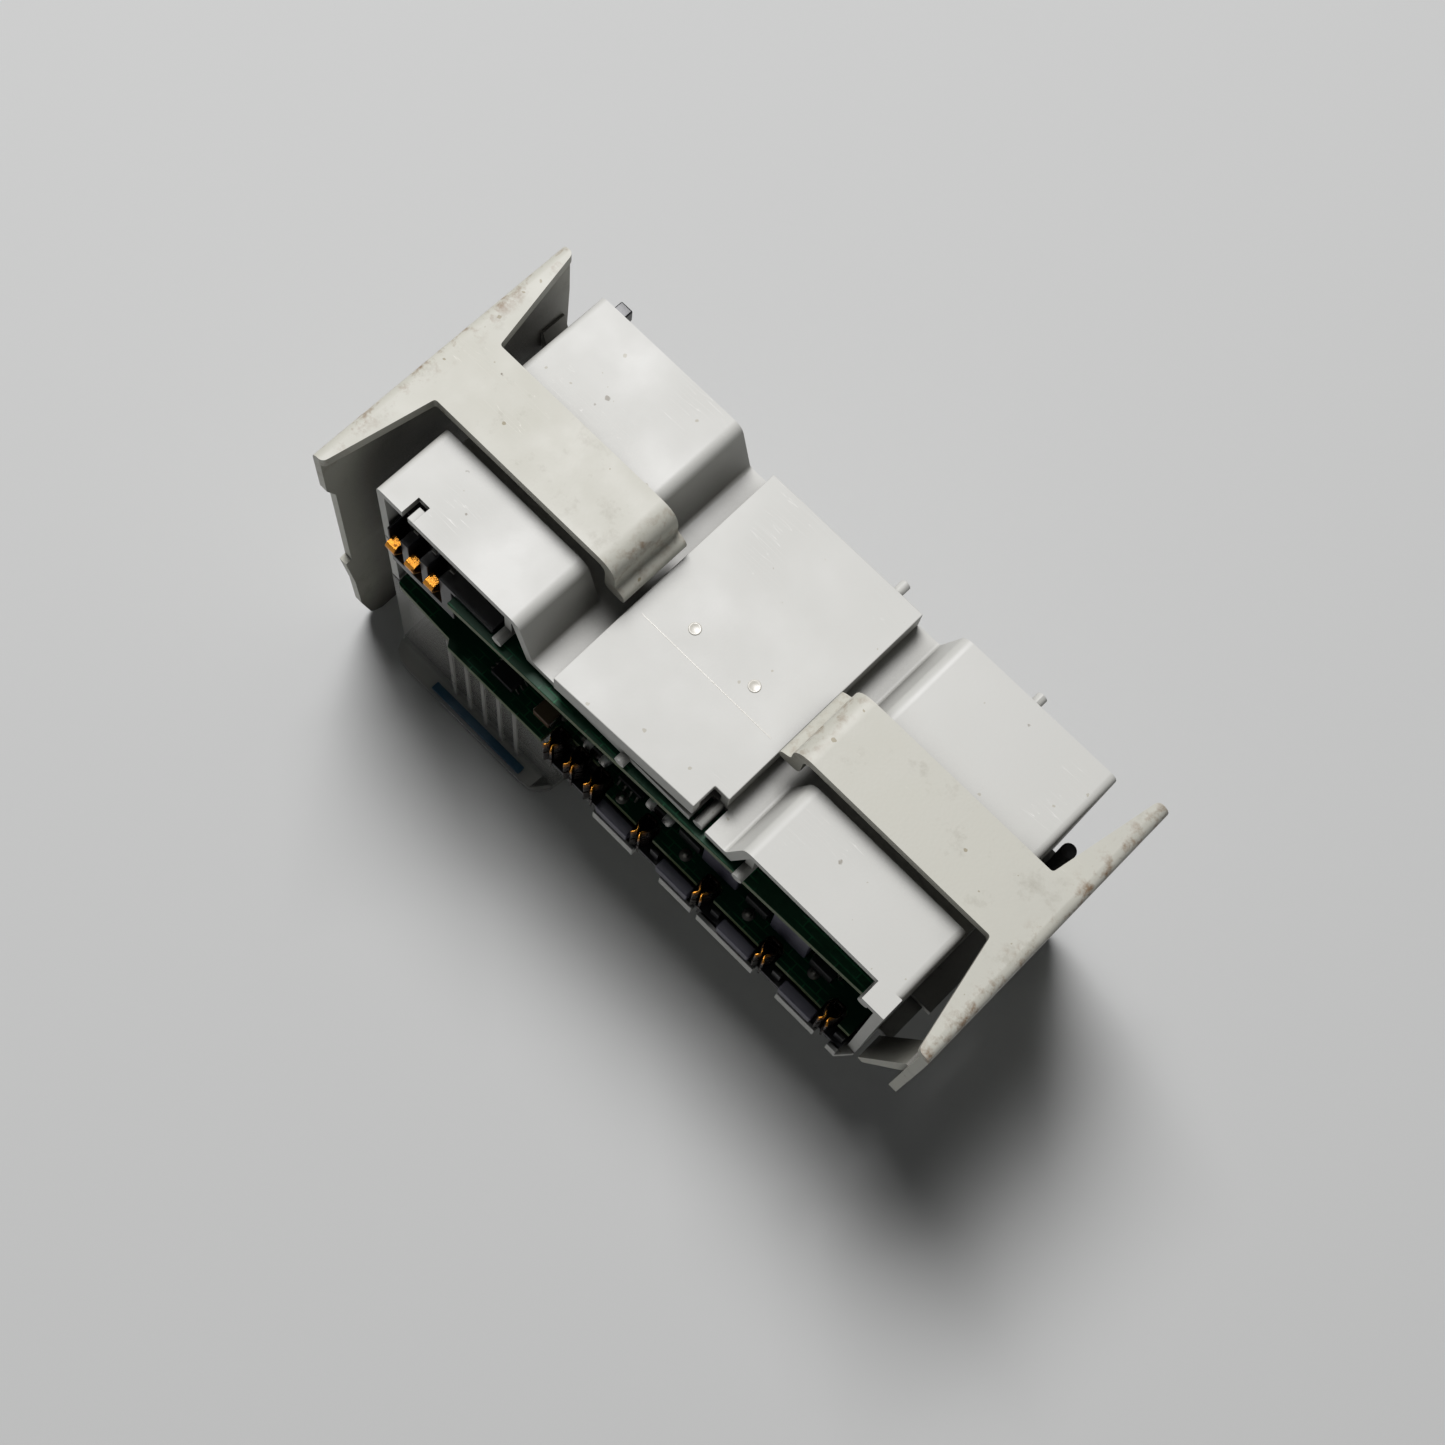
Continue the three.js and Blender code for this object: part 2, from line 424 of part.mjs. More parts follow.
// ---- supply transformer: ferrite core with three legs, winding on the middle one ----
const TRAFO = { x: 28.0, y: 6.0, z0: 33.2 };
piece('supply_transformer_core', cut(
  block(TRAFO.x - 7, TRAFO.x + 7, TRAFO.y - 2.5, TRAFO.y + 2.5, TRAFO.z0, TRAFO.z0 + 12),
  block(TRAFO.x - 4.7, TRAFO.x - 1.7, TRAFO.y - 3, TRAFO.y + 3, TRAFO.z0 + 2.5, TRAFO.z0 + 9.5),
  block(TRAFO.x + 1.7, TRAFO.x + 4.7, TRAFO.y - 3, TRAFO.y + 3, TRAFO.z0 + 2.5, TRAFO.z0 + 9.5)),
  finish(0x3a3a3c, 0.6));
piece('supply_transformer_winding', cut(
  block(TRAFO.x - 4.4, TRAFO.x + 4.4, TRAFO.y - 5, TRAFO.y + 5, TRAFO.z0 + 2.8, TRAFO.z0 + 9.2),
  block(TRAFO.x - 2.0, TRAFO.x + 2.0, TRAFO.y - 2.8, TRAFO.y + 2.8, TRAFO.z0 + 2, TRAFO.z0 + 10)), copper());

// ---- under the lower board: terminal headers, status lights, test button ----
const UNDER_BOARD = Z_LOWER_BOARD - 0.3;
SOCKET_Y.forEach((y, i) => {
  const pins = [-5, 5, 15, 25, 35, 42].map((x) => block(x - 0.5, x + 0.5, y - 0.5, y + 0.5, 26.9, 29));
  piece(`terminal_header_${i + 1}`, join(block(-8.4, 45.4, y - 2, y + 2, 28.7, UNDER_BOARD), ...pins),
    blackPlastic());
});
const LIGHT_X = -44.0;
const LIGHT_Y = [-10.0, 6.0];
piece('light_guide', join(
  block(LIGHT_X - 1, LIGHT_X + 1, LIGHT_Y[0], LIGHT_Y[1], 13.5, 15.5),
  ...LIGHT_Y.map((y) => post(LIGHT_X, y, CLEAR_FLOOR + GAP, 27.4, 1.5, 12))), finish(0xdfe3e2, 0.1, 0, 0.5));
LIGHT_Y.forEach((y, i) => {
  piece(`status_led_${i + 1}`, block(LIGHT_X - 1.2, LIGHT_X + 1.2, y - 1, y + 1, 27.8, UNDER_BOARD),
    finish(0xe8e4cf, 0.3));
});

const BUTTON_TRAVEL = 1.2;
const STEM_TOP = 24.5;
piece('test_button', join(
  post(BUTTON[0], BUTTON[1], 0.5, 6.0, 3.0, 20),
  post(BUTTON[0], BUTTON[1], CLEAR_FLOOR + GAP, CLEAR_FLOOR + GAP + 1.6, 4.6, 20),
  post(BUTTON[0], BUTTON[1], 5.0, STEM_TOP, 1.6, 12)), finish(0xd8d4c8, 0.45));
const PLUNGER_FOOT = STEM_TOP + BUTTON_TRAVEL + 0.3;
piece('test_switch', join(
  block(BUTTON[0] - 3, BUTTON[0] + 3, BUTTON[1] - 3, BUTTON[1] + 3, PLUNGER_FOOT + 1.4, UNDER_BOARD),
  post(BUTTON[0], BUTTON[1], PLUNGER_FOOT, PLUNGER_FOOT + 2.0, 1.3, 12)), blackPlastic());

export default object;
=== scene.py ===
# %% [markdown]
# This lesson dresses a measured model of an electronics base: the inner half of a residual current module,
# lying on its front face with the rail side up. The model arrives as a fixed frame, in metres.
# The frame says where every piece is, so the lesson only adds looks and fine shapes around it.

# %% Load the frame
import math
import random

import bmesh
import bpy
from mathutils import Matrix, Vector


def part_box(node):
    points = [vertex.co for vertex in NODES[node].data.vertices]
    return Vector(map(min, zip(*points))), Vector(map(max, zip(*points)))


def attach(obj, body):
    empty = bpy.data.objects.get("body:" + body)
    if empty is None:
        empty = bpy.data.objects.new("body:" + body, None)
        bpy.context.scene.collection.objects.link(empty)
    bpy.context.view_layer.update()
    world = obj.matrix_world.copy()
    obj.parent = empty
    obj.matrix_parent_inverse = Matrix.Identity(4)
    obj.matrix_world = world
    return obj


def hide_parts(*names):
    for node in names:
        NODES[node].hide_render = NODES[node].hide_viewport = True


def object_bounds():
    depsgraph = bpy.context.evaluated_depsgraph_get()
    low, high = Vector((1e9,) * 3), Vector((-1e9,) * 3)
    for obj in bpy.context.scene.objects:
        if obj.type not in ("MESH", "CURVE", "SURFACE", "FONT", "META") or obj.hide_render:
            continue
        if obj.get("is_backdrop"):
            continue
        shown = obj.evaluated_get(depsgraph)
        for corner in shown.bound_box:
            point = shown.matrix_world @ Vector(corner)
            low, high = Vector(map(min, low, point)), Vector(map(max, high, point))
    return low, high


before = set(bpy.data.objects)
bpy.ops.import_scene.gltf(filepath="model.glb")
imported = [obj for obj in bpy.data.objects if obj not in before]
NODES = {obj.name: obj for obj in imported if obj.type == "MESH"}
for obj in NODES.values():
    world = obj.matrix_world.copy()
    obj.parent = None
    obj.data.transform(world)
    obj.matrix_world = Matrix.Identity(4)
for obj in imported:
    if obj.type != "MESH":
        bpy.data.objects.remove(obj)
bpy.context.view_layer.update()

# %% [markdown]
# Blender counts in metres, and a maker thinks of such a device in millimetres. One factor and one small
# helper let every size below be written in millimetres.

MM = 0.001
print("nodes in the frame:", len(NODES))


def box_mm(node):
    """Lowest and highest corner of a CAD node, in millimetres."""
    low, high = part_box(node)
    return low / MM, high / MM


# %% [markdown]
# The camera stands almost over the object, a little to the near right, as somebody holds a telephone over a
# table. It could be set by hand in the viewport, but a script that names azimuth, height angle, roll and
# distance says the same thing in numbers that can be read. The lens gives a field of about 38 degrees.

# %% Camera
CAMERA_AZIMUTH = math.radians(31.26)     # from straight in front, towards the right latch
CAMERA_HEIGHT = math.radians(71.83)      # above the horizon
CAMERA_ROLL = math.radians(14.20)
CAMERA_DISTANCE = 295.5                  # mm, from the rail pad
LENS = 52.12                             # mm
SENSOR = 36                              # mm

pad_high = box_mm("rail_pad")[1]
AIM = Vector((6.54, -9.44, pad_high.z))  # mm, on the pad's height, a little to the near right of its middle


def aimed(location, target, roll=0.0):
    """The turn that points -Z at the target with +Y up, rolled about the line of sight."""
    turn = (target - location).to_track_quat("-Z", "Y")
    return (turn.to_matrix() @ Matrix.Rotation(roll, 3, "Z")).to_euler()


def around(azimuth, height, distance):
    """A point at that azimuth, height angle and distance, seen from the origin."""
    flat = math.cos(height) * distance
    return Vector((math.sin(azimuth) * flat, -math.cos(azimuth) * flat, math.sin(height) * distance))


scene = bpy.context.scene
camera = bpy.data.objects.new("camera", bpy.data.cameras.new("camera"))
scene.collection.objects.link(camera)
camera.location = (AIM + around(CAMERA_AZIMUTH, CAMERA_HEIGHT, CAMERA_DISTANCE)) * MM
camera.rotation_euler = aimed(camera.location, AIM * MM, CAMERA_ROLL)
camera.data.lens = LENS
camera.data.sensor_width = SENSOR
camera.data.clip_start = 10 * MM
scene.camera = camera
print("camera at, mm:", [round(v / MM, 1) for v in camera.location])

# %% [markdown]
# The studio is plain: a pale floor, one big soft light from the far left and a dim pale room.
# The key light is close and large, so the shadow falls to the near right and has a wide soft edge.
# A point light would cut a hard black shadow that a room with a ceiling lamp never gives.

# %% Floor and light
KEY_AZIMUTH = math.radians(236)
KEY_HEIGHT = math.radians(64)
KEY_DISTANCE = 1.6                       # m, from the middle of the floor
KEY_SIZE = 0.66                          # m, along each side of the square light
KEY_POWER = 27.5                         # W
LIT_MIDDLE = Vector((0, 0, 0.03))        # m, about half the object's height
ROOM_LIGHT = 0.08                        # strength of the dim room
FLOOR_HALF = 1.2                         # m, far enough that no edge shows


def linear(code):
    """An sRGB hex colour as linear red, green, blue and alpha."""
    parts = [int(code[i:i + 2], 16) / 255 for i in (1, 3, 5)]
    return (*[p / 12.92 if p <= 0.04045 else ((p + 0.055) / 1.055) ** 2.4 for p in parts], 1.0)


def add(tree, kind, settings=None, links=None):
    """Adds one node, with its settings and the sockets that feed it."""
    node = tree.nodes.new(kind)
    for name, value in (settings or {}).items():
        if isinstance(name, int) or name in node.inputs.keys():
            node.inputs[name].default_value = value
        else:
            setattr(node, name, value)
    for name, socket in (links or {}).items():
        tree.links.new(socket, node.inputs[name])
    return node


def soft_light(name, azimuth, height, distance, size, power, colour):
    """A square area light that looks at the object."""
    lamp = bpy.data.objects.new(name, bpy.data.lights.new(name, "AREA"))
    lamp.data.size = size
    lamp.data.energy = power
    lamp.data.color = linear(colour)[:3]
    scene.collection.objects.link(lamp)
    lamp.location = around(azimuth, height, distance)
    lamp.rotation_euler = aimed(lamp.location, LIT_MIDDLE)
    print("light", name, "at, m:", [round(v, 2) for v in lamp.location])


soft_light("key_light", KEY_AZIMUTH, KEY_HEIGHT, KEY_DISTANCE, KEY_SIZE, KEY_POWER, "#FEFDFF")
world = bpy.data.worlds.new("room")
scene.world = world
world.use_nodes = True
room = world.node_tree.nodes["Background"]
room.inputs["Color"].default_value = linear("#E6E8EC")
room.inputs["Strength"].default_value = ROOM_LIGHT
scene.view_settings.view_transform = "Standard"

floor_mesh = bpy.data.meshes.new("floor")
floor_corners = [(x, y, 0) for x, y in ((-1, -1), (1, -1), (1, 1), (-1, 1))]
floor_mesh.from_pydata(floor_corners, [], [(0, 1, 2, 3)])
floor = bpy.data.objects.new("floor", floor_mesh)
floor.scale = (FLOOR_HALF, FLOOR_HALF, 1)
scene.collection.objects.link(floor)
floor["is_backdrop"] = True
paper = bpy.data.materials.new("matt_pale_paper")
paper.use_nodes = True
paper_shader = paper.node_tree.nodes["Principled BSDF"]
paper_shader.inputs["Base Color"].default_value = linear("#C4C5C3")
paper_shader.inputs["Roughness"].default_value = 0.8
floor_mesh.materials.append(paper)

# %% [markdown]
# Every finish starts from the same three things: a colour that drifts a little over some centimetres, a
# gloss that drifts with it, and a fine relief. The pattern coordinates are the object's own, turned to
# millimetres, so a scale of 1/3 means one cell every 3 mm. One function lays the base, and each material
# adds its own marks with three more: specks, scratches, and painted shade where a surface is hemmed in.

# %% The base of every finish
def new_finish(name, colour, roughness, metallic=0.0, ior=None, drift=0.03, drift_mm=14.0,
               grain_mm=0.5, relief=0.02, gloss_drift=0.08):
    """A Principled surface with a drifting colour and gloss and a fine relief. Returns its parts."""
    material = bpy.data.materials.new(name)
    material.use_nodes = True
    tree = material.node_tree
    shader = tree.nodes["Principled BSDF"]
    shader.inputs["Metallic"].default_value = metallic
    if ior:
        shader.inputs["IOR"].default_value = ior
    place = add(tree, "ShaderNodeTexCoord")
    in_mm = add(tree, "ShaderNodeVectorMath", {"operation": "SCALE", "Scale": 1 / MM},
                {0: place.outputs["Object"]})
    spot = in_mm.outputs[0]
    clouds = add(tree, "ShaderNodeTexNoise", {"Scale": 1 / drift_mm, "Detail": 4.0}, {"Vector": spot})
    usual = {"From Min": 0.3, "From Max": 0.7}     # the range that most of a noise lies in
    shade = add(tree, "ShaderNodeMapRange", {**usual, "To Min": 1 - drift, "To Max": 1 + drift},
                {"Value": clouds.outputs[0]})
    tint = add(tree, "ShaderNodeVectorMath", {"operation": "SCALE", 0: linear(colour)[:3]},
               {"Scale": shade.outputs[0]})
    gloss = add(tree, "ShaderNodeMapRange",
                {**usual, "To Min": roughness - gloss_drift, "To Max": roughness + gloss_drift},
                {"Value": clouds.outputs[0]})
    tree.links.new(gloss.outputs[0], shader.inputs["Roughness"])
    grain = add(tree, "ShaderNodeTexNoise", {"Scale": 1 / grain_mm, "Detail": 2.0}, {"Vector": spot})
    bump = add(tree, "ShaderNodeBump", {"Strength": 0.6, "Distance": relief * MM},
               {"Height": grain.outputs[0]})
    tree.links.new(bump.outputs[0], shader.inputs["Normal"])
    tree.links.new(tint.outputs[0], shader.inputs["Base Color"])
    print("finish", name, colour, "roughness", roughness)
    return {"material": material, "tree": tree, "shader": shader, "spot": spot,
            "colour": tint.outputs[0], "clouds": clouds.outputs[0]}


def paint(finish, code, mask):
    """Lays a colour over the finish where the mask is 1."""
    mix = add(finish["tree"], "ShaderNodeMix", {"data_type": "RGBA", "clamp_factor": True})
    finish["tree"].links.new(mask, mix.inputs[0])
    finish["tree"].links.new(finish["colour"], mix.inputs[6])
    mix.inputs[7].default_value = linear(code)
    finish["colour"] = mix.outputs[2]
    finish["tree"].links.new(finish["colour"], finish["shader"].inputs["Base Color"])


def painted_recess_shade(finish, code, reach_mm, strength):
    """Painted shade: darkens the colour where a surface is hemmed in by its neighbours."""
    tree = finish["tree"]
    open_sky = add(tree, "ShaderNodeAmbientOcclusion", {"samples": 8, "Distance": reach_mm * MM})
    recess_shade = add(tree, "ShaderNodeMapRange", {"From Min": 0.8, "From Max": 0.25, "To Max": strength},
                 {"Value": open_sky.outputs["AO"]})
    paint(finish, code, recess_shade.outputs[0])


def specks(finish, cell_mm, radius_mm, share):
    """A mask of small round specks. Only that share of the cells has one."""
    tree = finish["tree"]
    wobble = add(tree, "ShaderNodeTexNoise", {"Scale": 1.6}, {"Vector": finish["spot"]})
    bent = add(tree, "ShaderNodeVectorMath", {"operation": "MULTIPLY_ADD", 1: (0.5, 0.5, 0.5)},
               {0: wobble.outputs["Color"], 2: finish["spot"]})
    cells = add(tree, "ShaderNodeTexVoronoi", {"Scale": 1 / cell_mm}, {"Vector": bent.outputs[0]})
    lot = add(tree, "ShaderNodeSeparateColor", {}, {"Color": cells.outputs["Color"]})
    chosen = add(tree, "ShaderNodeMapRange", {"From Min": 1 - share, "From Max": 1.0},
                 {"Value": lot.outputs[0]})
    reach = add(tree, "ShaderNodeMath", {"operation": "MULTIPLY", 1: radius_mm / cell_mm},
                {0: chosen.outputs[0]})
    inside = add(tree, "ShaderNodeMath", {"operation": "SUBTRACT"},
                 {0: reach.outputs[0], 1: cells.outputs["Distance"]})
    return add(tree, "ShaderNodeMapRange", {"From Min": 0.0, "From Max": 0.02, "To Max": 0.85},
               {"Value": inside.outputs[0]}).outputs[0]


def scratches(finish, across_mm, along_mm, turn, keep):
    """A mask of long thin lines on top faces: a stretched noise that is cut near its middle."""
    tree = finish["tree"]
    stretch = add(tree, "ShaderNodeMapping",
                  {"Rotation": (0, 0, turn), "Scale": (1 / along_mm, 1 / across_mm, 1 / along_mm)},
                  {"Vector": finish["spot"]})
    lines = add(tree, "ShaderNodeTexNoise", {"Scale": 1.0, "Detail": 1.0}, {"Vector": stretch.outputs[0]})
    off = add(tree, "ShaderNodeMath", {"operation": "SUBTRACT", 1: 0.5}, {0: lines.outputs[0]})
    size = add(tree, "ShaderNodeMath", {"operation": "ABSOLUTE"}, {0: off.outputs[0]})
    line = add(tree, "ShaderNodeMapRange", {"From Min": keep, "From Max": 0.0},
               {"Value": size.outputs[0]})
    where = add(tree, "ShaderNodeMapRange", {"From Min": 0.56, "From Max": 0.66},
                {"Value": finish["clouds"]})
    patch = add(tree, "ShaderNodeMath", {"operation": "MULTIPLY"},
                {0: line.outputs[0], 1: where.outputs[0]})
    surface = add(tree, "ShaderNodeNewGeometry")
    facing = add(tree, "ShaderNodeSeparateXYZ", {}, {0: surface.outputs["Normal"]})
    on_top = add(tree, "ShaderNodeMapRange", {"From Min": 0.6, "From Max": 0.9},
                 {"Value": facing.outputs[2]})
    return add(tree, "ShaderNodeMath", {"operation": "MULTIPLY"},
               {0: patch.outputs[0], 1: on_top.outputs[0]}).outputs[0]


# %% [markdown]
# The cover is injection moulded from a light grey PC-ABS blend. Spark erosion left a fine matt texture on
# the tool, about 0.1 mm across, drawn here at 0.4 mm so that it shows. Years in a cabinet leave a few dark
# specks and thin scratches. The housing's guide pin is a black insert, so a mask blackens its place alone.

# %% Light grey moulded plastic
cover_plastic = new_finish("spark_eroded_light_grey_pc_abs", "#C5C5BF", 0.52, ior=1.55, drift=0.025,
                           grain_mm=0.4, relief=0.012)
cover_tree = cover_plastic["tree"]
paint(cover_plastic, "#8B8578", specks(cover_plastic, 5.5, 0.55, 0.35))
paint(cover_plastic, "#ABA798", specks(cover_plastic, 2.1, 0.34, 0.25))
paint(cover_plastic, "#E4E3DE", scratches(cover_plastic, 0.7, 16.0, 0.6, 0.006))
# Painted shade: the cover's colour goes dark where it is hemmed in, in the valley and the gaps.
painted_recess_shade(cover_plastic, "#37332D", 8.0, 0.85)
PIN_FROM_END = 3.4                       # mm, the pin lies within this of the housing's right end
PIN_HEIGHTS = (32.8, 46.0)               # mm, from its ledge to above its tip
housing_high = box_mm("front_housing")[1]
pin_axes = add(cover_tree, "ShaderNodeSeparateXYZ", {}, {0: cover_plastic["spot"]})
beyond_wall = add(cover_tree, "ShaderNodeMath",
                  {"operation": "GREATER_THAN", 1: housing_high.x - PIN_FROM_END},
                  {0: pin_axes.outputs[0]})
over_ledge = add(cover_tree, "ShaderNodeMath", {"operation": "GREATER_THAN", 1: PIN_HEIGHTS[0]},
                 {0: pin_axes.outputs[2]})
below_latch = add(cover_tree, "ShaderNodeMath", {"operation": "LESS_THAN", 1: PIN_HEIGHTS[1]},
                  {0: pin_axes.outputs[2]})
pin_band = add(cover_tree, "ShaderNodeMath", {"operation": "MULTIPLY"},
               {0: over_ledge.outputs[0], 1: below_latch.outputs[0]})
pin_mask = add(cover_tree, "ShaderNodeMath", {"operation": "MULTIPLY"},
               {0: beyond_wall.outputs[0], 1: pin_band.outputs[0]})
paint(cover_plastic, "#18181B", pin_mask.outputs[0])

# %% [markdown]
# The latches are a separate, warmer moulding that has yellowed. Fingers and screwdrivers work at the rim of
# the end plate and at the hook, so brown stains gather there. Distances from the middle and from the top
# say where that is, and a patchy noise keeps the stain from looking sprayed on.

# %% Yellowed latch plastic
latch_plastic = new_finish("aged_warm_grey_polycarbonate", "#BFBEB2", 0.54, ior=1.58, drift=0.045,
                           drift_mm=9.0, grain_mm=0.45, relief=0.02)
latch_tree = latch_plastic["tree"]
paint(latch_plastic, "#8E8468", specks(latch_plastic, 2.6, 0.42, 0.45))
paint(latch_plastic, "#5F533E", specks(latch_plastic, 5.0, 0.5, 0.3))
paint(latch_plastic, "#DAD8CD", scratches(latch_plastic, 0.8, 14.0, -0.5, 0.006))
smudges = add(latch_tree, "ShaderNodeTexNoise", {"Scale": 0.16, "Detail": 6.0, "Roughness": 0.75},
              {"Vector": latch_plastic["spot"]})
smudged = add(latch_tree, "ShaderNodeMapRange", {"From Min": 0.56, "From Max": 0.72, "To Max": 0.4},
              {"Value": smudges.outputs[0]})
paint(latch_plastic, "#8A8574", smudged.outputs[0])
# Painted shade: the latch's colour goes dark on its hemmed-in inner faces and undersides.
painted_recess_shade(latch_plastic, "#2B2721", 14.0, 0.97)
latch_low, latch_high = box_mm("right_rail_latch")
axes = add(latch_tree, "ShaderNodeSeparateXYZ", {}, {0: latch_plastic["spot"]})
from_middle = add(latch_tree, "ShaderNodeMath", {"operation": "ABSOLUTE"}, {0: axes.outputs[0]})
RIM_FADE = (4.0, 0.3)                    # mm in from the plate's outer face, where stains start and peak
HOOK_FADE = (5.5, 1.5)                   # mm out from the hook's tip
TOP_FADE = (9.0, 1.0)                    # mm down from the top
rim = add(latch_tree, "ShaderNodeMapRange",
          {"From Min": latch_high.x - RIM_FADE[0], "From Max": latch_high.x - RIM_FADE[1]},
          {"Value": from_middle.outputs[0]})
hook = add(latch_tree, "ShaderNodeMapRange",
           {"From Min": latch_low.x + HOOK_FADE[0], "From Max": latch_low.x + HOOK_FADE[1]},
           {"Value": from_middle.outputs[0]})
top = add(latch_tree, "ShaderNodeMapRange",
          {"From Min": latch_high.z - TOP_FADE[0], "From Max": latch_high.z - TOP_FADE[1]},
          {"Value": axes.outputs[2]})
handled = add(latch_tree, "ShaderNodeMath", {"operation": "MAXIMUM"},
              {0: rim.outputs[0], 1: hook.outputs[0]})
patches = add(latch_tree, "ShaderNodeTexNoise", {"Scale": 0.45, "Detail": 5.0, "Roughness": 0.7},
              {"Vector": latch_plastic["spot"]})
stained = add(latch_tree, "ShaderNodeMapRange", {"From Min": 0.5, "From Max": 0.68},
              {"Value": patches.outputs[0]})
grip = add(latch_tree, "ShaderNodeMath", {"operation": "MULTIPLY"},
           {0: handled.outputs[0], 1: stained.outputs[0]})
rust = add(latch_tree, "ShaderNodeMath", {"operation": "MULTIPLY"}, {0: grip.outputs[0], 1: top.outputs[0]})
paint(latch_plastic, "#806548", rust.outputs[0])

# %% [markdown]
# The boards are FR4: woven glass in epoxy, with a bottle-green solder mask over the copper. The mask is
# half glossy and lets the copper show as slightly lighter lanes. The sawn edge has no mask and is pale. Real
# lanes are 0.2 mm wide, too fine to show, so a brick pattern with rows of 1.3 mm stands for them.

# %% Green board with pale sawn edge
green_board = new_finish("green_solder_mask_on_fr4", "#0C4229", 0.46, ior=1.5, drift=0.12, drift_mm=11.0,
                         grain_mm=0.9, relief=0.01, gloss_drift=0.05)
green_board["shader"].inputs["Specular IOR Level"].default_value = 0.2
board_tree = green_board["tree"]
lanes = add(board_tree, "ShaderNodeTexBrick",
            {"Scale": 1.0, "Mortar Size": 0.13, "Mortar Smooth": 0.3, "Brick Width": 5.2,
             "Row Height": 1.3, "offset": 0.37, "squash": 0.6, "squash_frequency": 3},
            {"Vector": green_board["spot"]})
lane_patches = add(board_tree, "ShaderNodeMapRange", {"From Min": 0.44, "From Max": 0.5},
                   {"Value": green_board["clouds"]})
lane_mask = add(board_tree, "ShaderNodeMath", {"operation": "MULTIPLY"},
                {0: lanes.outputs["Fac"], 1: lane_patches.outputs[0]})
paint(green_board, "#1F6B45", lane_mask.outputs[0])
board_surface = add(board_tree, "ShaderNodeNewGeometry")
facing = add(board_tree, "ShaderNodeSeparateXYZ", {}, {0: board_surface.outputs["Normal"]})
upright = add(board_tree, "ShaderNodeMath", {"operation": "ABSOLUTE"}, {0: facing.outputs[2]})
sawn = add(board_tree, "ShaderNodeMapRange", {"From Min": 0.75, "From Max": 0.35},
           {"Value": upright.outputs[0]})
paint(green_board, "#5E6B4A", sawn.outputs[0])

# %% [markdown]
# The metals: gold-flashed contacts, tinned blades and solder, enamelled copper wire and bare aluminium.
# A metal has no base reflection to choose, so its IOR stays at the default, and its colour is the colour of
# its highlights. The roughness tells how it was made: stamped and plated is smooth, solder is clouded. The
# forks' gold is painted dark brown lower down and further back, a painted shade for their deep slots, and
# stays bright at their mouths.

# %% Metals
gold = new_finish("gold_flashed_bronze", "#E0973A", 0.28, 1.0, drift=0.15, drift_mm=2.0, grain_mm=0.3,
                  relief=0.01)
gold_tree = gold["tree"]
paint(gold, "#6B3F1C", specks(gold, 1.1, 0.3, 0.4))
FORK_SHADE_DEPTH = (0.4, -2.0)              # mm over the forks' top, where the painted shade starts and is full
FORK_SHADE_BACK = (1.0, 1.8)                # mm behind the forks' mouth
SPRING_CLEAR = 2.0                       # mm over the forks' top, where the bright bus springs begin
fork_low, fork_high = box_mm("fork_contact_1")
gold_axes = add(gold_tree, "ShaderNodeSeparateXYZ", {}, {0: gold["spot"]})
low_part = add(gold_tree, "ShaderNodeMapRange",
               {"From Min": fork_high.z + FORK_SHADE_DEPTH[0], "From Max": fork_high.z + FORK_SHADE_DEPTH[1]},
               {"Value": gold_axes.outputs[2]})
back_part = add(gold_tree, "ShaderNodeMapRange",
                {"From Min": fork_low.y + FORK_SHADE_BACK[0], "From Max": fork_low.y + FORK_SHADE_BACK[1]},
                {"Value": gold_axes.outputs[1]})
either = add(gold_tree, "ShaderNodeMath", {"operation": "MAXIMUM"},
             {0: low_part.outputs[0], 1: back_part.outputs[0]})
on_fork = add(gold_tree, "ShaderNodeMath", {"operation": "LESS_THAN", 1: fork_high.z + SPRING_CLEAR},
              {0: gold_axes.outputs[2]})
fork_painted_shade = add(gold_tree, "ShaderNodeMath", {"operation": "MULTIPLY"},
              {0: either.outputs[0], 1: on_fork.outputs[0]})
# Painted shade: the forks go dark brown lower down and further back in their slots.
paint(gold, "#2E2016", fork_painted_shade.outputs[0])
tin = new_finish("tin_plated_brass", "#C8C6BF", 0.3, 1.0, drift=0.06, drift_mm=3.0, grain_mm=0.3,
                 relief=0.01)
dull_tin = new_finish("oxidised_leg_tin", "#8F8D86", 0.5, 1.0, drift=0.08, drift_mm=2.0, grain_mm=0.3,
                      relief=0.02)
solder = new_finish("frozen_tin_solder", "#F0EFEA", 0.6, 1.0, drift=0.12, drift_mm=0.8, grain_mm=0.4,
                    relief=0.03)
copper = new_finish("enamelled_copper_wire", "#B4622F", 0.3, 1.0, drift=0.1, drift_mm=3.0, grain_mm=0.4,
                    relief=0.01)
aluminium = new_finish("drawn_aluminium_can", "#C6C9CC", 0.32, 1.0, drift=0.05, drift_mm=4.0)

# %% [markdown]
# The dark parts: glass-filled black carriers, epoxy chip bodies, dark grey relay cases, ferrite. They are
# all dark, so the eye tells them apart by gloss and by a slight hue, and each gets its own. The small
# coloured pieces, from the tantalum case to the blue film, need nothing more than the base.

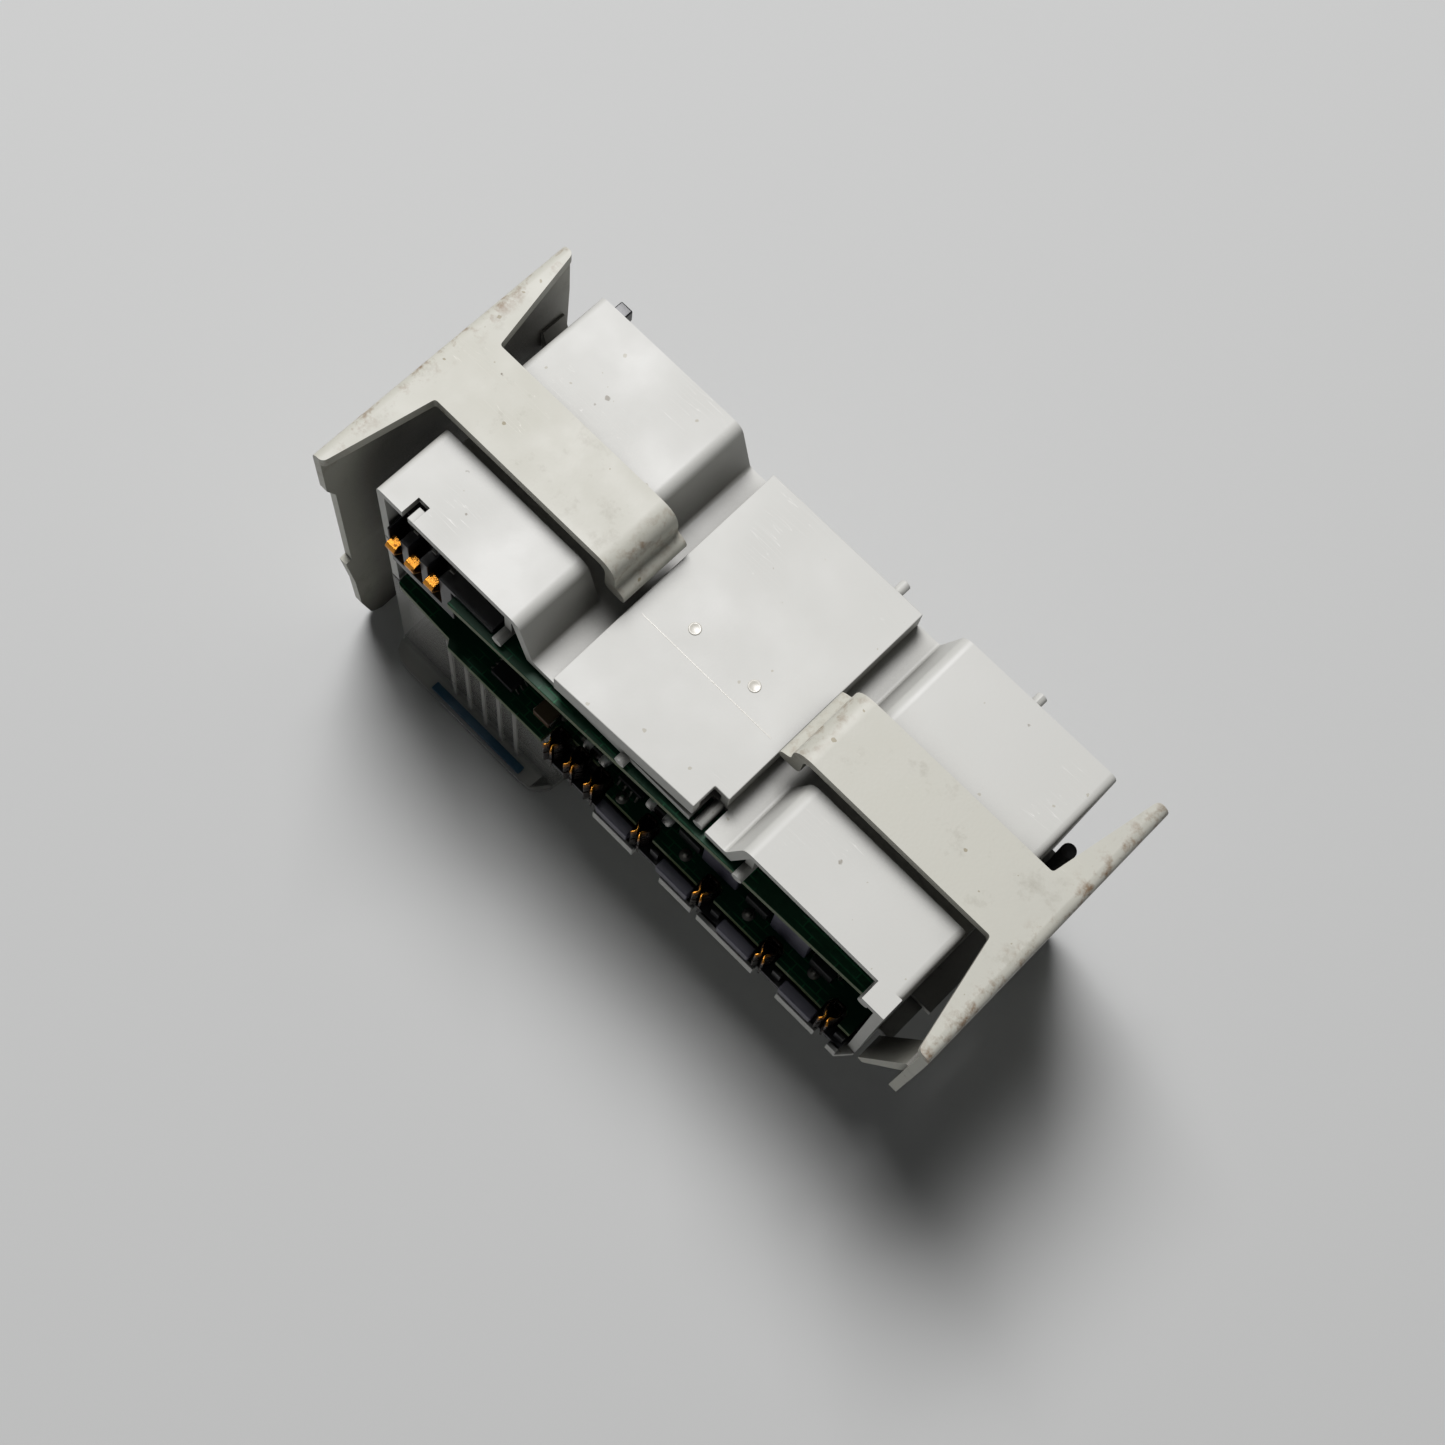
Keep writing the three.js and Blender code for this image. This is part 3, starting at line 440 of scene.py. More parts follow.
# %% Dark plastics and ferrite
black_plastic = new_finish("glass_filled_black_pbt", "#15161A", 0.4, ior=1.57, drift=0.1, relief=0.02)
epoxy = new_finish("black_chip_epoxy", "#121315", 0.5, ior=1.55, drift=0.1, grain_mm=0.3, relief=0.02)
dark_grey = new_finish("dark_grey_moulded_polyamide", "#5A5866", 0.36, ior=1.53, drift=0.06, relief=0.015)
ferrite = new_finish("sintered_ferrite", "#2E2E31", 0.55, ior=1.9, drift=0.12, drift_mm=5.0, grain_mm=0.6,
                     relief=0.04)
sleeve = new_finish("dark_blue_shrink_sleeve", "#232B44", 0.3, ior=1.54, drift=0.05)
tantalum = new_finish("moulded_tantalum_case", "#6A5540", 0.42, ior=1.55, drift=0.06)
glaze = new_finish("dark_resistor_glaze", "#241D1B", 0.2, ior=1.6, drift=0.08)
button_grey = new_finish("polished_grey_button_abs", "#C9C6BB", 0.3, ior=1.54, drift=0.02)
lens = new_finish("milky_led_epoxy", "#DCD6B4", 0.25, ior=1.55, drift=0.03)
print_blue = new_finish("blue_marking_film", "#24506B", 0.35, ior=1.5, drift=0.08, drift_mm=5.0)

# %% [markdown]
# The front cover is clear polycarbonate that has gone a little smoky. Full refraction would turn its thin
# walls black against the shadow under the board. Here the surface lets part of the light pass and keeps a
# pale film of its own, so the ribs and rims catch light. Its IOR of 1.585 sets how strongly it mirrors.

# %% Clear polycarbonate
clear = new_finish("smoky_clear_polycarbonate", "#CFCEC8", 0.14, ior=1.585, drift=0.04, grain_mm=3.0,
                   relief=0.05, gloss_drift=0.04)
clear_axes = add(clear["tree"], "ShaderNodeSeparateXYZ", {}, {0: clear["spot"]})
FLANGE_REACH = 3.7                       # mm, how far the foot's flange stands out before the wall
FILM = (0.28, 0.58)                      # how much the wall and the flange hide
wall_y = box_mm("clear_front_cover")[0].y + FLANGE_REACH
film = add(clear["tree"], "ShaderNodeMapRange",
           {"From Min": wall_y - 0.1, "From Max": wall_y - 0.9, "To Min": FILM[0], "To Max": FILM[1]},
           {"Value": clear_axes.outputs[1]})
clear["tree"].links.new(film.outputs[0], clear["shader"].inputs["Alpha"])
guide_clear = new_finish("clear_light_guide_acrylic", "#E4E8E6", 0.06, ior=1.49, drift=0.02, grain_mm=3.0,
                         relief=0.02, gloss_drift=0.02)
guide_clear["shader"].inputs["Transmission Weight"].default_value = 0.9

# %% [markdown]
# Moulded and stamped edges are never sharp. The frame's solids are: every edge ends in a knife. Each one is
# kept, and four modifiers finish it. Weld joins the triangles at their corners, Decimate makes whole faces
# of the flat ones, Bevel rounds the edges to the radius of that process, and Weighted Normal keeps the large
# faces flat in the light.

# %% Round the edges of the CAD pieces
SAME_POINT = 0.001                       # mm, corners closer than this are one
FLAT_ANGLE = math.radians(1)
EDGE_ANGLE = math.radians(30)


def dress(node, finish, slot, radius, segments, pierced=False):
    """Gives a CAD node its finish and rounds its edges, in millimetres.

    A wall pierced by slots stays in triangles, since one face can't go round its holes.
    """
    obj = NODES[node]
    obj.data.materials.clear()
    obj.data.materials.append(finish["material"])
    obj.data.shade_smooth()
    weld = obj.modifiers.new("weld", "WELD")
    weld.merge_threshold = SAME_POINT * MM
    if not pierced:
        flat = obj.modifiers.new("join_flat_triangles", "DECIMATE")
        flat.decimate_type = "DISSOLVE"
        flat.angle_limit = FLAT_ANGLE
    round_edges(obj, radius, segments)


def round_edges(obj, radius, segments=2):
    """Rounds every edge that turns by more than the edge angle."""
    bevel = obj.modifiers.new("round_edges", "BEVEL")
    bevel.width = radius * MM
    bevel.segments = segments
    bevel.limit_method = "ANGLE"
    bevel.angle_limit = EDGE_ANGLE
    bevel.use_clamp_overlap = True
    bevel.miter_outer = "MITER_ARC"
    normals = obj.modifiers.new("flat_in_light", "WEIGHTED_NORMAL")
    normals.keep_sharp = False


dress("front_housing", cover_plastic, "cover_plastic", 0.12, 1, pierced=True)
SINGLES = (                              # node, finish, slot, edge radius in mm, steps of the rounding
    ("rail_side_cover", cover_plastic, "cover_plastic", 0.35, 3),
    ("rail_pad", cover_plastic, "cover_plastic", 0.3, 3),
    ("left_rail_latch", latch_plastic, "latch_plastic", 0.4, 3),
    ("right_rail_latch", latch_plastic, "latch_plastic", 0.4, 3),
    ("clear_front_cover", clear, "clear_plastic", 0.25, 3),
    ("blue_marking_strip", print_blue, "marking_blue", 0.1, 2),
    ("upper_board", green_board, "circuit_board", 0.12, 2),
    ("lower_board", green_board, "circuit_board", 0.12, 2),
    ("bus_contact_carrier", black_plastic, "black_plastic", 0.2, 2),
    ("contact_carrier", black_plastic, "black_plastic", 0.15, 2),
    ("bus_key_peg", black_plastic, "black_plastic", 0.25, 2),
    ("supply_transformer_core", ferrite, "ferrite", 0.2, 2),
    ("summation_transformer_core", black_plastic, "black_plastic", 0.4, 2),
    ("light_guide", guide_clear, "clear_plastic", 0.2, 2),
    ("test_button", button_grey, "button_plastic", 0.35, 3),
    ("test_switch", black_plastic, "black_plastic", 0.15, 2),
    ("board_link_header", black_plastic, "black_plastic", 0.2, 2),
    ("tantalum_capacitor", tantalum, "tantalum_case", 0.15, 2),
)
for row in SINGLES:
    dress(*row)

FAMILIES = (                             # start of the names, then as above
    (("interface_chip", "microcontroller", "optocoupler"), epoxy, "black_plastic", 0.15, 2),
    (("relay", "contact_housing"), dark_grey, "dark_grey_plastic", 0.25, 3),
    ("terminal_header", black_plastic, "black_plastic", 0.15, 2),
    ("blade_contact", tin, "tin_contact", 0.1, 2),
    ("melf_resistor", glaze, "resistor_glaze", 0.15, 2),
    ("status_led", lens, "led_lens", 0.2, 2),
)
for node in sorted(NODES):
    for names, *looks in FAMILIES:
        if node.startswith(names):
            dress(node, *looks)
print("pieces with rounded edges:", sum(bool(obj.modifiers) for obj in NODES.values()))

# %% [markdown]
# Sheet metal is one strip of constant thickness that was stamped flat and then bent. A helper that sweeps a
# thin rectangle along a path says just that, and it serves the contact forks, the bus springs and the legs
# of the chips. Round things come from a profile turned on an axis, and wire from a circle swept along a
# path. Blocks start as cubes, and every mesh becomes a piece that rides on one of the frame's bodies.

# %% A bent strip
def ribbon(bm, path, across, width, thick):
    """A bent strip of sheet: path in mm, across is the unit direction of its width."""
    across = Vector(across)
    points = [Vector(p) for p in path]
    rings = []
    for i, point in enumerate(points):
        before = (point - points[i - 1]).normalized() if i else None
        after = (points[i + 1] - point).normalized() if i + 1 < len(points) else None
        before, after = before or after, after or before
        normals = [across.cross(before).normalized(), across.cross(after).normalized()]
        middle = (normals[0] + normals[1]).normalized()
        half = middle * (thick / 2 / max(0.5, middle.dot(normals[0])))
        wide = across * (width / 2)
        rings.append([bm.verts.new((point + a * wide + b * half) * MM)
                      for a, b in ((-1, -1), (1, -1), (1, 1), (-1, 1))])
    for one, two in zip(rings, rings[1:]):
        for i in range(4):
            j = (i + 1) % 4
            bm.faces.new((one[i], one[j], two[j], two[i]))
    bm.faces.new(rings[0][::-1])
    bm.faces.new(rings[-1])


# %% A turned solid
def turned(bm, profile, centre, axis=(0, 0, 1), sides=24):
    """A solid of revolution: profile is (radius, height) in mm, and it starts and ends on the axis."""
    turn = Vector((0, 0, 1)).rotation_difference(Vector(axis)).to_matrix()
    rings = []
    for radius, height in profile:
        angles = [2 * math.pi * k / sides for k in range(sides)] if radius else [0.0]
        circle = [Vector((radius * math.cos(a), radius * math.sin(a), height)) for a in angles]
        rings.append([bm.verts.new((Vector(centre) + turn @ point) * MM) for point in circle])
    for low, high in zip(rings, rings[1:]):
        for k in range(sides):
            m = (k + 1) % sides
            corners = [low[k % len(low)], low[m % len(low)], high[m % len(high)], high[k % len(high)]]
            bm.faces.new(list(dict.fromkeys(corners)))


# %% A round wire
def wire(bm, path, radius, sides=8, closed=False):
    """A round wire along a path in mm."""
    points = [Vector(p) for p in path]
    count = len(points)
    rings = []
    normal = None
    for i, point in enumerate(points):
        ahead = points[(i + 1) % count] if closed or i + 1 < count else point
        behind = points[i - 1] if closed or i else point
        along = (ahead - behind).normalized()
        if normal is None:
            normal = along.orthogonal()
        normal = (normal - along * normal.dot(along)).normalized()
        other = along.cross(normal)
        rings.append([bm.verts.new((point + (normal * math.cos(a) + other * math.sin(a)) * radius) * MM)
                      for a in (2 * math.pi * k / sides for k in range(sides))])
    pairs = list(zip(rings, rings[1:]))
    if closed:
        pairs.append((rings[-1], rings[0]))
    for one, two in pairs:
        for k in range(sides):
            m = (k + 1) % sides
            bm.faces.new((one[k], one[m], two[m], two[k]))
    if not closed:
        bm.faces.new(rings[0][::-1])
        bm.faces.new(rings[-1])


# %% A block, and a finished piece
def brick(bm, low, high):
    """A block between two corners in mm, to be rounded later."""
    made = bmesh.ops.create_cube(bm, size=1.0)["verts"]
    size = Vector(high) - Vector(low)
    for vert in made:
        vert.co = Vector([(low[i] + size[i] * (vert.co[i] + 0.5)) * MM for i in range(3)])


def new_piece(name, bm, finish, body="housing", rounding=0.0):
    """Turns the built mesh into a piece that rides on a body."""
    bmesh.ops.recalc_face_normals(bm, faces=bm.faces)
    mesh = bpy.data.meshes.new(name)
    bm.to_mesh(mesh)
    bm.free()
    mesh.materials.append(finish["material"])
    mesh.shade_smooth()
    obj = bpy.data.objects.new(name, mesh)
    scene.collection.objects.link(obj)
    if rounding:
        round_edges(obj, rounding)
    else:
        obj.modifiers.new("flat_in_light", "WEIGHTED_NORMAL")
    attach(obj, body)
    print("made", name, "faces", len(mesh.polygons))
    return obj


# %% [markdown]
# Seven forks stand on the open side, and they take the blades of the next module. A real one is a bronze
# strip bent into a U whose two tines nearly touch and then flare out as a mouth. The strip is slit, so that
# each tine springs as an upper and a lower finger. Building the fingers as two strips shows the slit.

# %% Contact forks
FORK_SHEET = 0.35                        # mm, thickness of the bronze
FINGER_GAP = 0.5                         # mm, the slit
BACK_SHORT = 1.0                         # mm, the back of the U ends this far inside the tines
FORK_MOUTH = [(0.82, 0.1), (0.36, 0.9), (0.42, 1.3)]  # mm from the middle, mm behind the front
FORK_WIDENS = 2.3                        # mm behind the front, where the tines are at full width
FORK_CORNER = 0.3                        # mm, cut off the corners at the back
FORKS = sorted(n for n in NODES if n.startswith("fork_contact"))
for node in FORKS:
    low, high = box_mm(node)
    middle_x = (low.x + high.x) / 2
    reach = high.x - middle_x - FORK_SHEET / 2
    back = high.y - FORK_SHEET / 2
    half_path = [(x, low.y + y) for x, y in FORK_MOUTH]
    half_path += [(reach, low.y + FORK_WIDENS), (reach, back - FORK_CORNER), (reach - FORK_CORNER, back)]
    path_xy = half_path + [(-x, y) for x, y in half_path[::-1]]
    mesh = bmesh.new()
    finger = (high.z - low.z - FINGER_GAP) / 2
    for foot in (low.z, high.z - finger):
        height = foot + finger / 2
        ribbon(mesh, [(middle_x + x, y, height) for x, y in path_xy], (0, 0, 1), finger, FORK_SHEET)
    brick(mesh, (middle_x - reach, back - FORK_SHEET / 2, low.z + BACK_SHORT),
          (middle_x + reach, back + FORK_SHEET / 2, high.z - BACK_SHORT))
    fork = new_piece(node.replace("contact", "spring"), mesh, gold, "housing", 0.06)
    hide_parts(node)

# %% [markdown]
# The three bus contacts are narrow springs in a black carrier. Each is a strip that leans out, folds over
# flat and turns down again, so that its neighbour's strip presses on the knee. They move, so each one rides
# on its own body.

# %% Bus springs
SPRING_WIDTH = 1.9                       # mm
SPRING_SHEET = 0.3                       # mm
SPRING_FOOT = 1.3                        # mm, the straight part in the carrier
# mm in from the contact's near side, mm up from its foot
SPRING_FOLD = [(0.3, 5.2), (0.17, 6.2), (0.5, 6.7), (1.9, 6.9), (2.2, 6.4), (2.2, 5.0)]
for number in (1, 2, 3):
    node = f"bus_contact_{number}"
    low, high = box_mm(node)
    middle_x = (low.x + high.x) / 2
    foot_y = high.y - SPRING_SHEET / 2
    path = [(foot_y, low.z), (foot_y, low.z + SPRING_FOOT)]
    path += [(low.y + y, low.z + z) for y, z in SPRING_FOLD]
    mesh = bmesh.new()
    ribbon(mesh, [(middle_x, y, z) for y, z in path], (1, 0, 0), SPRING_WIDTH, SPRING_SHEET)
    spring = new_piece(f"bus_spring_strip_{number}", mesh, gold,
                       f"bus_spring_{number}", 0.06)
    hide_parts(node)

# %% [markdown]
# Chip legs are gull wings: out of the body at mid height, down, and flat on the board. Copying one strip
# along each side gives a whole package. The capacitor's ends are strips too, and the resistors' are caps.

# %% Chip legs
BOARD_TOP = box_mm("lower_board")[1].z
LEG_SHEET = 0.14                         # mm
LEG_SHOULDER = 0.45                      # of the body's height
LEG_STEPS = (-0.2, 0.25, 0.4, 0.8)       # mm from the body's side: root, shoulder, foot, toe
LEG_WIDTH = 0.32                         # of the pitch


def gull_legs(bm, node, per_side, pitch, width, sides):
    """Rows of bent legs along the named sides of a chip."""
    low, high = box_mm(node)
    middle = (low + high) / 2
    shoulder = low.z + (high.z - low.z) * LEG_SHOULDER
    foot = BOARD_TOP + 0.1
    heights = (shoulder, shoulder, foot, foot)
    for axis in sides:
        along = Vector((0, 1, 0)) if axis == "x" else Vector((1, 0, 0))
        half = (high.x - low.x) / 2 if axis == "x" else (high.y - low.y) / 2
        for sign in (-1, 1):
            out = Vector((sign, 0, 0)) if axis == "x" else Vector((0, sign, 0))
            for k in range(per_side):
                base = Vector((middle.x, middle.y, 0)) + along * (k - (per_side - 1) / 2) * pitch
                path = [base + out * (half + step) + Vector((0, 0, height))
                        for step, height in zip(LEG_STEPS, heights)]
                ribbon(bm, path, along, width, LEG_SHEET)


LEGS = (                                 # node, legs on each side, pitch in mm, sides that have them
    ("interface_chip_1", 3, 0.95, ("x",)),
    ("interface_chip_2", 4, 1.27, ("y",)),
    ("microcontroller", 11, 0.8, ("x", "y")),
    ("optocoupler_1", 2, 2.54, ("x",)),
    ("optocoupler_2", 2, 2.54, ("x",)),
    ("optocoupler_3", 2, 2.54, ("x",)),
)
for node, per_side, pitch, sides in LEGS:
    mesh = bmesh.new()
    gull_legs(mesh, node, per_side, pitch, pitch * LEG_WIDTH, sides)
    new_piece(node + "_legs", mesh, dull_tin)

# %% End caps and end strips
CAP_MIDDLE = 0.4                         # mm, in from a resistor's end
for node in ("melf_resistor_1", "melf_resistor_2"):
    low, high = box_mm(node)
    middle = (low + high) / 2
    radius = (high.z - low.z) / 2
    mesh = bmesh.new()
    for end in (-1, 1):
        turned(mesh, [(0, -1.0), (radius + 0.1, -1.0), (radius + 0.16, 0.2), (radius, 0.5),
                      (radius * 0.7, 0.62), (0, 0.62)],
               ((high.x - middle.x - CAP_MIDDLE) * end + middle.x, middle.y, middle.z), (end, 0, 0))
    new_piece(node + "_end_caps", mesh, solder)

low, high = box_mm("tantalum_capacitor")
END_WIDTH = 2.0                          # mm
END_SHEET = 0.16                         # mm
mesh = bmesh.new()
for end in (-1, 1):
    x = (low.x + high.x) / 2 + end * (high.x - low.x) / 2
    y = (low.y + high.y) / 2
    path = [(x, y, high.z - 0.6), (x + 0.12 * end, y, high.z - 0.7),
            (x + 0.14 * end, y, BOARD_TOP + 0.12), (x - 0.7 * end, y, BOARD_TOP + 0.1)]
    ribbon(mesh, path, (0, 1, 0), END_WIDTH, END_SHEET)
new_piece("tantalum_capacitor_ends", mesh, tin)

# %% [markdown]
# A through-hole joint is a small volcano of solder: wide foot on the pad, concave flank, the pin's tip on
# top. Turning that profile is all it takes. They stand in a row behind the forks on the near edge.

# %% Solder joints
JOINT = [(0, 0.0), (1.05, 0.0), (1.05, 0.05), (0.75, 0.12), (0.45, 0.4), (0.36, 0.75), (0.2, 0.9), (0, 0.92)]
JOINT_LEFT = 4.8                         # mm, from a fork to the joint on its left
JOINTS_IN = (-0.6, 0.0, 0.3, 1.0)        # mm, behind the last four forks
SMALL_JOINT = 0.6                        # size of the joints at the first three forks
SMALL_ASIDE = 2.4                        # mm, to both sides of a fork
SMALL_IN = 1.9                           # mm, behind it
mesh = bmesh.new()
for node, inward in zip(FORKS[3:], JOINTS_IN):
    low, high = box_mm(node)
    turned(mesh, JOINT, (low.x - JOINT_LEFT, high.y + inward, BOARD_TOP))
for node in FORKS[:3]:
    low, high = box_mm(node)
    for side in (-1, 1):
        turned(mesh, [(r * SMALL_JOINT, h * SMALL_JOINT) for r, h in JOINT],
               ((low.x + high.x) / 2 + side * SMALL_ASIDE, high.y + SMALL_IN, BOARD_TOP))
new_piece("solder_joints", mesh, dull_tin)

# %% [markdown]
# Chip resistors and capacitors are ceramic blocks with a tinned cap at each end, 2 mm long. Placing each by
# hand would be slow, so a seeded random number shifts and turns those on the upper board, the same at every
# run. The ones on the lower board show more clearly and have places of their own.

# %% Chip parts
random.seed(7)
chips = bmesh.new()
ends = bmesh.new()
CHIP_LENGTH = 2.0                        # mm
CHIP_WIDTH = 1.25                        # mm
CHIP_HEIGHT = 0.5                        # mm
BARE_END = 0.3                           # mm, the ceramic starts this far in
CAP_IN = 0.2                             # mm, from the end to the middle of a cap
CAP_HALF = 0.22                          # mm, half a cap's length
CAP_OVER = 0.02                          # mm, a cap's side stands this much proud of the ceramic
CAP_RISE = 0.03                          # mm, and its top this much


def chip_part(x, y, z, turn):
    """A small ceramic part with tinned ends, along X, or along Y when turned."""
    size = (CHIP_LENGTH, CHIP_WIDTH) if not turn else (CHIP_WIDTH, CHIP_LENGTH)
    in_x = BARE_END * (not turn)
    in_y = BARE_END * turn
    brick(chips, (x - size[0] / 2 + in_x, y - size[1] / 2 + in_y, z),
          (x + size[0] / 2 - in_x, y + size[1] / 2 - in_y, z + CHIP_HEIGHT))
    wide = CHIP_WIDTH / 2 + CAP_OVER
    half = (CAP_HALF, wide) if not turn else (wide, CAP_HALF)
    for end in (-1, 1):
        cx = x + end * (CHIP_LENGTH / 2 - CAP_IN) * (not turn)
        cy = y + end * (CHIP_LENGTH / 2 - CAP_IN) * turn
        brick(ends, (cx - half[0], cy - half[1], z),
              (cx + half[0], cy + half[1], z + CHIP_HEIGHT + CAP_RISE))


UPPER_COUNT = 15
UPPER_START = 18                         # mm, from the upper board's left end
UPPER_PITCH = 5.4                        # mm
UPPER_ROW = (7.0, 9.5)                   # mm, from its near edge
UPPER_SHIFT = 0.8                        # mm, the most that a part is off its pitch
upper_low, upper_high = box_mm("upper_board")
for k in range(UPPER_COUNT):
    chip_part(upper_low.x + UPPER_START + k * UPPER_PITCH + random.uniform(-UPPER_SHIFT, UPPER_SHIFT),
              upper_low.y + random.uniform(*UPPER_ROW), upper_high.z, random.random() < 0.5)
LOWER_COUNT = 6
LOWER_START = (4, 6.6)                   # mm, from the lower board's near left corner
LOWER_PITCH = (3.1, 2.2)                 # mm
lower_low = box_mm("lower_board")[0]
for k in range(LOWER_COUNT):
    chip_part(lower_low.x + LOWER_START[0] + k * LOWER_PITCH[0],
              lower_low.y + LOWER_START[1] + (k % 3) * LOWER_PITCH[1], BOARD_TOP, k % 2 == 0)
# mm, free places between the chips and the forks of the near edge
NEAR_EDGE = ((-21.6, -17.0), (-13.6, -17.6), (-12.2, -15.2), (-10.4, -16.9), (3.6, -13.5), (48.0, -14.5))
for x, y in NEAR_EDGE:
    chip_part(x, y, BOARD_TOP, x > 0)
new_piece("chip_resistor_bodies", chips, epoxy, "housing", 0.06)
new_piece("chip_resistor_ends", ends, solder, "housing", 0.05)

# %% [markdown]
# The summation transformer is what makes the device: its ring core carries a copper winding that senses any
# difference current. Wire on a ring is one long helix, so one path says it: the wire goes round the ring's
# square section and creeps along the ring at each turn.

# %% Ring core winding
core_low, core_high = box_mm("summation_transformer_core")
centre = (core_low + core_high) / 2
outer = (core_high.x - core_low.x) / 2
RING_WIDTH = 4.0                         # mm, of the cased core, inside to outside
WIRE = 0.26                              # mm, radius
TURNS = 46
STEPS = 16                               # points in each turn
OPEN_SHARE = 0.1                         # of the ring, on each side of the winding's gap
SLACK = 0.35                             # mm, between the wire and the core's case
ROUNDNESS = 0.45                         # 1 is a round section and 0 a square one
section = (RING_WIDTH / 2 + SLACK + WIRE, (core_high.z - core_low.z) / 2 + SLACK + WIRE)
helix = []
for i in range(TURNS * STEPS):
    around_ring = 2 * math.pi * (OPEN_SHARE + (1 - 2 * OPEN_SHARE) * i / (TURNS * STEPS)) - math.pi / 2
    phase = 2 * math.pi * i / STEPS
    square = [math.copysign(abs(v) ** ROUNDNESS, v) for v in (math.cos(phase), math.sin(phase))]
    reach = outer - RING_WIDTH / 2 + square[0] * section[0]
    helix.append((centre.x + reach * math.cos(around_ring), centre.y + reach * math.sin(around_ring),
                  centre.z + square[1] * section[1]))
mesh = bmesh.new()
wire(mesh, helix, WIRE, sides=6)
ring_winding = new_piece("ring_core_wire", mesh, copper)
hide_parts("summation_transformer_winding")

# %% [markdown]
# The supply transformer's coil is wound on a moulded bobbin, between two flanges. Each turn is a closed loop
# with round corners, because from outside nobody can tell stacked loops from a real winding.

# %% Supply transformer winding
bobbin_low, bobbin_high = box_mm("supply_transformer_winding")
middle = (bobbin_low + bobbin_high) / 2
half = (bobbin_high - bobbin_low) / 2
mesh = bmesh.new()
LOOPS = 9
LOOP_WIRE = 0.35                         # mm, radius
LOOP_CORNER = 1.2                        # mm, radius of the loop's corners
FLANGE = 0.5                             # mm, thickness of the bobbin's flanges
step = (bobbin_high.z - bobbin_low.z - 2 * FLANGE) / LOOPS
for k in range(LOOPS):
    z = bobbin_low.z + FLANGE + step * (k + 0.5)
    loop = []
    for cx, cy, start in ((1, 1, 0), (-1, 1, 90), (-1, -1, 180), (1, -1, 270)):
        corner = Vector((middle.x + cx * (half.x - LOOP_CORNER - LOOP_WIRE),
                         middle.y + cy * (half.y - LOOP_CORNER - LOOP_WIRE), z))
        for a in range(5):
            angle = math.radians(start + a * 22.5)
            loop.append(corner + Vector((math.cos(angle), math.sin(angle), 0)) * LOOP_CORNER)
    wire(mesh, loop, LOOP_WIRE, closed=True)
coil = new_piece("supply_winding_turns", mesh, copper)
mesh = bmesh.new()
CHEEK = 2.0                              # mm, width of a flange's cheek beside the core
CHEEK_IN = 0.3                           # mm, in from the coil's sides
for foot in (bobbin_low.z, bobbin_high.z - FLANGE):
    for x in (bobbin_low.x + CHEEK_IN, bobbin_high.x - CHEEK_IN - CHEEK):
        brick(mesh, (x, bobbin_low.y + CHEEK_IN, foot),
              (x + CHEEK, bobbin_high.y - CHEEK_IN, foot + FLANGE))
new_piece("supply_bobbin_flanges", mesh, black_plastic, "housing", 0.1)
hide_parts("supply_transformer_winding")

# %% [markdown]
# An electrolytic capacitor is an aluminium can in a shrink sleeve, with a groove rolled in above its foot.
# The sleeve folds over the rim, so the bare disc on top is a little smaller than the can.

# %% Electrolytic capacitors
for number in (1, 2):
    node = f"electrolytic_capacitor_{number}"
    low, high = box_mm(node)
    middle = (low + high) / 2
    radius = (high.x - low.x) / 2
    tall = high.z - low.z
    mesh = bmesh.new()
    groove = [(radius, 1.4), (radius - 0.35, 1.8), (radius - 0.35, 2.1), (radius, 2.5)]
    shoulder = [(radius, tall - 0.4), (radius - 0.12, tall - 0.12), (radius - 0.45, tall)]
    profile = [(0, 0), (radius * 0.9, 0), (radius, 0.3), *groove, *shoulder,
               (radius - 0.9, tall - 0.02), (0, tall - 0.1)]
    turned(mesh, profile, (middle.x, middle.y, low.z), sides=32)
    can = new_piece(f"capacitor_sleeve_{number}", mesh, sleeve)
    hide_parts(node)
    mesh = bmesh.new()
    disc = [(0, -0.05), (radius - 0.95, -0.05), (radius - 1.0, 0.03), (0, 0.03)]
    turned(mesh, disc, (middle.x, middle.y, high.z - 0.06), sides=32)
    new_piece(f"capacitor_disc_{number}", mesh, aluminium)

# %% [markdown]
# Small moulded details finish the rail side: the snap tongue in the slot at the left block's near edge, two
# round marks on the pad where ejector pins pushed the part out of its tool, and the fine raised line where
# two halves of that tool met.

